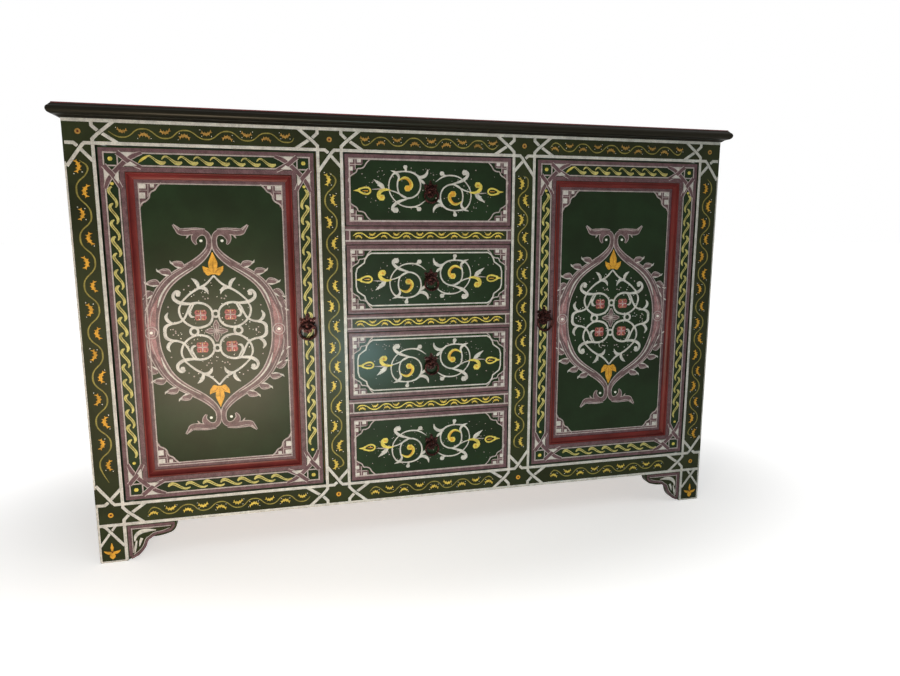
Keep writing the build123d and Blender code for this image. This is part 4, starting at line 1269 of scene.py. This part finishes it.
def make_pull_nuts():
    """A washer and a hexagon nut on each pull's stud, behind the wood."""
    washer, washer_radius, across_corners, nut, sunk = 1.2, 7.5, 9.2, 4.0, 0.05
    model = join(
        [
            turned_disc(28, washer_radius, -sunk, washer, 0.25),
            turned_disc(6, across_corners / 2, washer - sunk, washer + nut, 0.35),
        ]
    )
    for body in (*DOORS, *DRAWERS):
        across, up, _ = pull_middle(body)
        place = (across, edge(pull_wood(body), 1, 1), up)
        place_copy(model, f"{body}_pull_nut", body, place, zinc_plate(), turn=(-math.pi / 2, 0, 0))
    bpy.data.objects.remove(model)


def screw_head():
    """A slotted wood screw's head, up the Z axis, that stands a little out of its countersink."""
    radius, sunk, proud, slot_half, slot_depth = 3.6, 1.4, 0.45, 0.45, 0.9
    piece = turned_disc(20, radius, -sunk, proud, 0.15)

    def is_top(face):
        return face.normal.z > 0.99 and face.center.z > (proud - 0.1) * MM

    pick_faces(piece, is_top)
    bpy.ops.mesh.inset(thickness=0.4 * MM, depth=0.1 * MM)
    for side in (-1, 1):
        bpy.ops.mesh.select_mode(type="FACE")
        bpy.ops.mesh.bisect(plane_co=(side * slot_half * MM, 0, 0), plane_no=(1, 0, 0))
        pick_faces(piece, is_top)
    pick_faces(piece, lambda face: is_top(face) and abs(face.center.x) < slot_half * MM)
    bpy.ops.mesh.extrude_region_move(TRANSFORM_OT_translate={"value": (0, 0, -slot_depth * MM)})
    bpy.ops.object.mode_set(mode="OBJECT")
    return piece


CLEAT_SCREWS = (-120, 20, 160)  # how deep in the cabinet each cleat's screws sit
STOP_SCREW_INSET = 13  # from the edge of a stop: half its width


def make_wood_screws():
    """The screws of the shelf cleats and the door stops, where an open door shows them."""
    model = screw_head()
    steel = zinc_plate()
    cleat_low, cleat_high = edge("shelf_cleats", 0, 2), edge("shelf_cleats", 1, 2)
    cleat = (cleat_low + cleat_high) / 2
    cleat_in = edge("partitions", 1, 0) + cleat_high - cleat_low
    stop_middle = edge("door_stops", 1, 0) - STOP_SCREW_INSET
    stop_back = edge("door_stops", 1, 1)
    stop_low, stop_high = edge("door_stops", 0, 2), edge("door_stops", 1, 2)
    end_gap, above_shelf = 60, 40
    stop_screws = (stop_low + end_gap, (stop_low + stop_high) / 2 + above_shelf, stop_high - end_gap)
    # each head's place and turn; the slots are left at any angle
    spots = []
    for side in (-1, 1):
        for deep in CLEAT_SCREWS:
            spots.append(((side * cleat_in, deep, cleat), (0, side * math.pi / 2, 0.4)))
            spots.append(((side * POST_IN, deep, cleat), (0, -side * math.pi / 2, 0.9)))
        for up in stop_screws:
            spots.append(((side * stop_middle, stop_back, up), (-math.pi / 2, 0.5, 0)))
    heads = [place_copy(model, "head", None, place, steel, turn=turn) for place, turn in spots]
    bpy.data.objects.remove(model)
    screws = join(heads)
    screws.name = "wood_screws"
    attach(screws, "carcass")


# ---------------------------------------------------------------- finishes of the solids


# which finish a solid has, by how its name ends: the first that fits counts, and the last fits all
FINISH_BY_ENDING = (
    (("pull_plate", "pull_ring"), "pull"),
    (("pivot_bushes",), "brass"),
    (("door_pivots",), "steel"),
    (("moulding",), "moulding"),
    (("top_board",), "top"),
    (("_front", "door_rails"), "door_across"),
    (("door_stiles", "door_panel"), "door_up"),
    (("top_rail", "bottom_rail", "drawer_dividers", "bracket"), "post_across"),
    (("front_post", "inner_posts", "rear_posts", "side_panels", "side_rails"), "post_up"),
    (("back_panel", "_bottom"), "plywood"),
    (("_sides", "drawer_runners", "shelf_cleats", "drawer_stops"), "pine_deep"),
    (("partitions", "door_stops"), "pine_up"),
    (("",), "pine_across"),
)


def finish_nodes():
    """Gives each solid its finish, with the brush or the grain along the board."""
    tints = colours()
    early, late = "#c9a06a", "#b3834c"
    finishes = {
        "pine_across": planed_wood("bare_pine_x", early, late, "X"),
        "pine_deep": planed_wood("bare_pine_y", early, late, "Y"),
        "pine_up": planed_wood("bare_pine_z", early, late, "Z"),
        "post_up": brushed_paint("olive_oil_paint_upright", tints.post_ground, "Z"),
        "post_across": brushed_paint("olive_oil_paint_level", tints.post_ground, "X"),
        "door_up": brushed_paint("green_oil_paint_upright", tints.ground, "Z"),
        "door_across": brushed_paint("green_oil_paint_level", tints.ground, "X"),
        "top": brushed_paint("black_green_oil_paint", tints.top, "X"),
        "moulding": brushed_paint("red_oil_paint_moulding", tints.red, "Z"),
        "plywood": planed_wood("poplar_plywood", "#b99a6b", "#a8875a", "X"),
        "pull": cast_iron(),
        "brass": metal("turned_brass", "#c9a659", "#8a6a2c", 0.3),
        "steel": metal("turned_steel", "#b9b9b6", "#7d7c79", 0.3),
    }
    for name in frame["nodes"]:
        finish = next(finish for endings, finish in FINISH_BY_ENDING if name.endswith(endings))
        give(bpy.data.objects[name], finishes[finish])


# ---------------------------------------------------------------- stage


def shown_rays(tree):
    """1 for what the camera sees, itself or in metal or glass, and 0 for the light that falls on things."""
    rays = add(tree, "LightPath").outputs
    seen = add(tree, "Math", {0: rays["Is Camera Ray"], 1: rays["Is Glossy Ray"]}, operation="MAXIMUM")
    both = add(tree, "Math", {0: seen.outputs[0], 1: rays["Is Transmission Ray"]}, operation="MAXIMUM")
    return both.outputs[0]


def set_lamp(name, watts, size, place, target, tint):
    """A square lamp that the camera doesn't see, turned to its target."""
    bpy.ops.object.light_add(type="AREA", location=place)
    lamp = bpy.context.object
    lamp.name = name
    lamp.data.energy = watts
    lamp.data.size = size
    lamp.data.color = linear(tint)
    lamp.visible_camera = False
    aim = [goal - start for goal, start in zip(target, place, strict=True)]
    flat = math.hypot(aim[0], aim[1])
    lamp.rotation_euler = (math.atan2(flat, -aim[2]), 0, math.atan2(-aim[0], aim[1]))


CAMERA_PLACE = (-0.333, -1.72375, 0.733)  # in metres
CAMERA_TURN = (80.63, -0.096, -14.10)  # in degrees
# painted shade: the floor's own light is dimmer near the cabinet and full further out
NEAR, FAR = 0.4, 0.95  # from where to where the floor's own light grows, in metres
SHADED_GLOW, FULL = 0.5, 1.0  # its strength at either end
# of each lamp: its side, its place and the spot that it is turned to, all in metres, and its tint
LAMPS = {
    "key": (0.5, (-0.6, -1.45, 0.2), (-0.4, -0.2, 0.3), "#fff1e2"),
    "fill": (2.0, (1.0, -1.7, 3.0), (0.2, -0.2, 0.5), "#ffffff"),
    "cool": (0.16, (0.04, -2.0, 0.12), (0, -0.2, 0.3), "#bcf0ff"),
}


def place_camera(scene, lens):
    """The camera stands in front of the left door, and looks a little down and to the right."""
    bpy.ops.object.select_all(action="DESELECT")
    bpy.ops.object.camera_add(location=CAMERA_PLACE)
    camera = bpy.context.object
    camera.rotation_euler = [math.radians(turn) for turn in CAMERA_TURN]
    camera.data.lens = lens
    camera.data.sensor_width = 36
    camera.data.clip_start = 0.05
    scene.camera = camera
    scene.view_settings.view_transform = "Standard"


def make_floor():
    """A plain pale floor of matt paint that glows for the camera. The eye sees white but for the cabinet's
    soft shadow, deepened by painted shade where the glow is dimmed round the cabinet.
    """
    bpy.ops.mesh.primitive_plane_add(size=60, location=(0, 0, 0))
    floor = bpy.context.object
    floor.name = "floor"
    material, tree, place, surface = shader("white_studio_floor")
    surface.inputs["Base Color"].default_value = rgba(linear("#f2f1ef"))
    surface.inputs["Roughness"].default_value = 0.9
    surface.inputs["Emission Color"].default_value = rgba(linear("#ffffff"))
    # painted shade: the floor's own light fades out towards the cabinet, which darkens the floor round it on
    # top of its real shadow
    ground = add(tree, "Mapping", {"Vector": place, "Scale": (0.6, 1, 1)}).outputs[0]
    away = add(tree, "VectorMath", {0: ground}, operation="LENGTH").outputs["Value"]
    span = {"Value": away, "From Min": NEAR, "From Max": FAR, "To Min": SHADED_GLOW, "To Max": FULL}
    glow_with_painted_shade = add(tree, "MapRange", span, interpolation_type="SMOOTHSTEP").outputs[0]
    shown = add(tree, "Math", {0: shown_rays(tree), 1: glow_with_painted_shade}, operation="MULTIPLY")
    tree.links.new(shown.outputs[0], surface.inputs["Emission Strength"])
    floor.data.materials.append(material)


def make_sky(scene, light):
    """White to look at, and a weaker light from all around."""
    world = bpy.data.worlds.new("plain_sky")
    scene.world = world
    world.use_nodes = True
    tree = world.node_tree
    tree.nodes.clear()
    strength = add(tree, "MapRange", {"Value": shown_rays(tree), "To Min": light, "To Max": 1.0})
    white = rgba(linear("#ffffff"))
    sky = add(tree, "Background", {"Color": white, "Strength": strength.outputs[0]})
    add(tree, "OutputWorld", {"Surface": sky.outputs[0]})


def make_stage():
    """The camera, the floor, the lamps and the sky."""
    scene = bpy.context.scene
    stage = scene.sideboard_stage
    place_camera(scene, stage.lens)
    make_floor()
    for name, (size, place, target, tint) in LAMPS.items():
        set_lamp(name, getattr(stage, name), size, place, target, tint)
    make_sky(scene, stage.sky)


# ---------------------------------------------------------------- operators


class SIDEBOARD_OT_stage(bpy.types.Operator):
    """Set up the camera, the floor, the lamps and the sky"""

    bl_idname = "sideboard.stage"
    bl_label = "Stage"

    def execute(self, context):
        make_stage()
        return {"FINISHED"}


class SIDEBOARD_OT_finishes(bpy.types.Operator):
    """Give each solid its paint, bare wood or metal"""

    bl_idname = "sideboard.finishes"
    bl_label = "Finishes of the Solids"

    def execute(self, context):
        finish_nodes()
        return {"FINISHED"}


class SIDEBOARD_OT_strapwork(bpy.types.Operator):
    """Paint the cream straps of the posts and rails"""

    bl_idname = "sideboard.strapwork"
    bl_label = "Strapwork"

    def execute(self, context):
        paint_strapwork()
        return {"FINISHED"}


class SIDEBOARD_OT_frame_vines(bpy.types.Operator):
    """Paint the vines of the posts and rails"""

    bl_idname = "sideboard.frame_vines"
    bl_label = "Frame Vines"

    def execute(self, context):
        paint_frame_vines()
        return {"FINISHED"}


class SIDEBOARD_OT_dividers(bpy.types.Operator):
    """Paint the dividers between the drawers"""

    bl_idname = "sideboard.dividers"
    bl_label = "Drawer Dividers"

    def execute(self, context):
        paint_dividers()
        return {"FINISHED"}


class SIDEBOARD_OT_door_frames(bpy.types.Operator):
    """Paint the borders, knots and ropes of both doors' frames"""

    bl_idname = "sideboard.door_frames"
    bl_label = "Door Frames"

    def execute(self, context):
        for name, flip in zip(DOORS, (-1, 1), strict=True):
            paint_door_frame(name, flip)
        return {"FINISHED"}


class SIDEBOARD_OT_door_panels(bpy.types.Operator):
    """Paint the pointed oval and the corners of both doors' panels"""

    bl_idname = "sideboard.door_panels"
    bl_label = "Door Panels"

    def execute(self, context):
        # the ovals are laid out a little off the panels' middles
        for name, flip, centre in zip(DOORS, (-1, 1), (480.5, 471.0), strict=True):
            paint_panel(name, flip, centre)
        return {"FINISHED"}


class SIDEBOARD_OT_drawer_fronts(bpy.types.Operator):
    """Paint the borders and scrolls of the four drawers"""

    bl_idname = "sideboard.drawer_fronts"
    bl_label = "Drawer Fronts"

    def execute(self, context):
        for number, name in enumerate(DRAWERS):
            paint_drawer(name, number)
        return {"FINISHED"}


class SIDEBOARD_OT_feet(bpy.types.Operator):
    """Paint the two front feet and their brackets"""

    bl_idname = "sideboard.feet"
    bl_label = "Feet"

    def execute(self, context):
        paint_feet()
        return {"FINISHED"}


class SIDEBOARD_OT_top_rim(bpy.types.Operator):
    """Paint the line along the top board's slope"""

    bl_idname = "sideboard.top_rim"
    bl_label = "Top Rim"

    def execute(self, context):
        paint_top_rim()
        return {"FINISHED"}


class SIDEBOARD_OT_pull_castings(bpy.types.Operator):
    """Model the relief on the plates of the six pulls"""

    bl_idname = "sideboard.pull_castings"
    bl_label = "Pull Castings"

    def execute(self, context):
        make_pull_castings()
        return {"FINISHED"}


class SIDEBOARD_OT_pull_nuts(bpy.types.Operator):
    """Model the washer and nut behind each of the six pulls"""

    bl_idname = "sideboard.pull_nuts"
    bl_label = "Pull Nuts"

    def execute(self, context):
        make_pull_nuts()
        return {"FINISHED"}


class SIDEBOARD_OT_wood_screws(bpy.types.Operator):
    """Model the screws of the shelf cleats and door stops"""

    bl_idname = "sideboard.wood_screws"
    bl_label = "Wood Screws"

    def execute(self, context):
        make_wood_screws()
        return {"FINISHED"}


STEPS = (
    SIDEBOARD_OT_stage,
    SIDEBOARD_OT_finishes,
    SIDEBOARD_OT_strapwork,
    SIDEBOARD_OT_frame_vines,
    SIDEBOARD_OT_dividers,
    SIDEBOARD_OT_door_frames,
    SIDEBOARD_OT_door_panels,
    SIDEBOARD_OT_drawer_fronts,
    SIDEBOARD_OT_feet,
    SIDEBOARD_OT_top_rim,
    SIDEBOARD_OT_pull_castings,
    SIDEBOARD_OT_pull_nuts,
    SIDEBOARD_OT_wood_screws,
)
GROUPS = {
    "sideboard_colours": SideboardColours,
    "sideboard_brush": SideboardBrush,
    "sideboard_stage": SideboardStage,
}


class SIDEBOARD_PT_steps(bpy.types.Panel):
    """The steps in order, and the colours and sizes that they use"""

    bl_idname = "SIDEBOARD_PT_steps"
    bl_label = "Painted Sideboard"
    bl_space_type = "VIEW_3D"
    bl_region_type = "UI"
    bl_category = "Sideboard"

    def draw(self, context):
        for step in STEPS:
            self.layout.operator(step.bl_idname)
        for name, group in GROUPS.items():
            box = self.layout.box()
            for setting in group.__annotations__:
                box.prop(getattr(context.scene, name), setting)


CLASSES = (*GROUPS.values(), *STEPS, SIDEBOARD_PT_steps)


def register():
    for each in CLASSES:
        bpy.utils.register_class(each)
    for name, group in GROUPS.items():
        setattr(bpy.types.Scene, name, PointerProperty(type=group))


def unregister():
    for name in GROUPS:
        delattr(bpy.types.Scene, name)
    for each in reversed(CLASSES):
        bpy.utils.unregister_class(each)


def main():
    register()
    for step in STEPS:
        getattr(bpy.ops.sideboard, step.bl_idname.split(".")[1])()


if __name__ == "__main__":
    main()
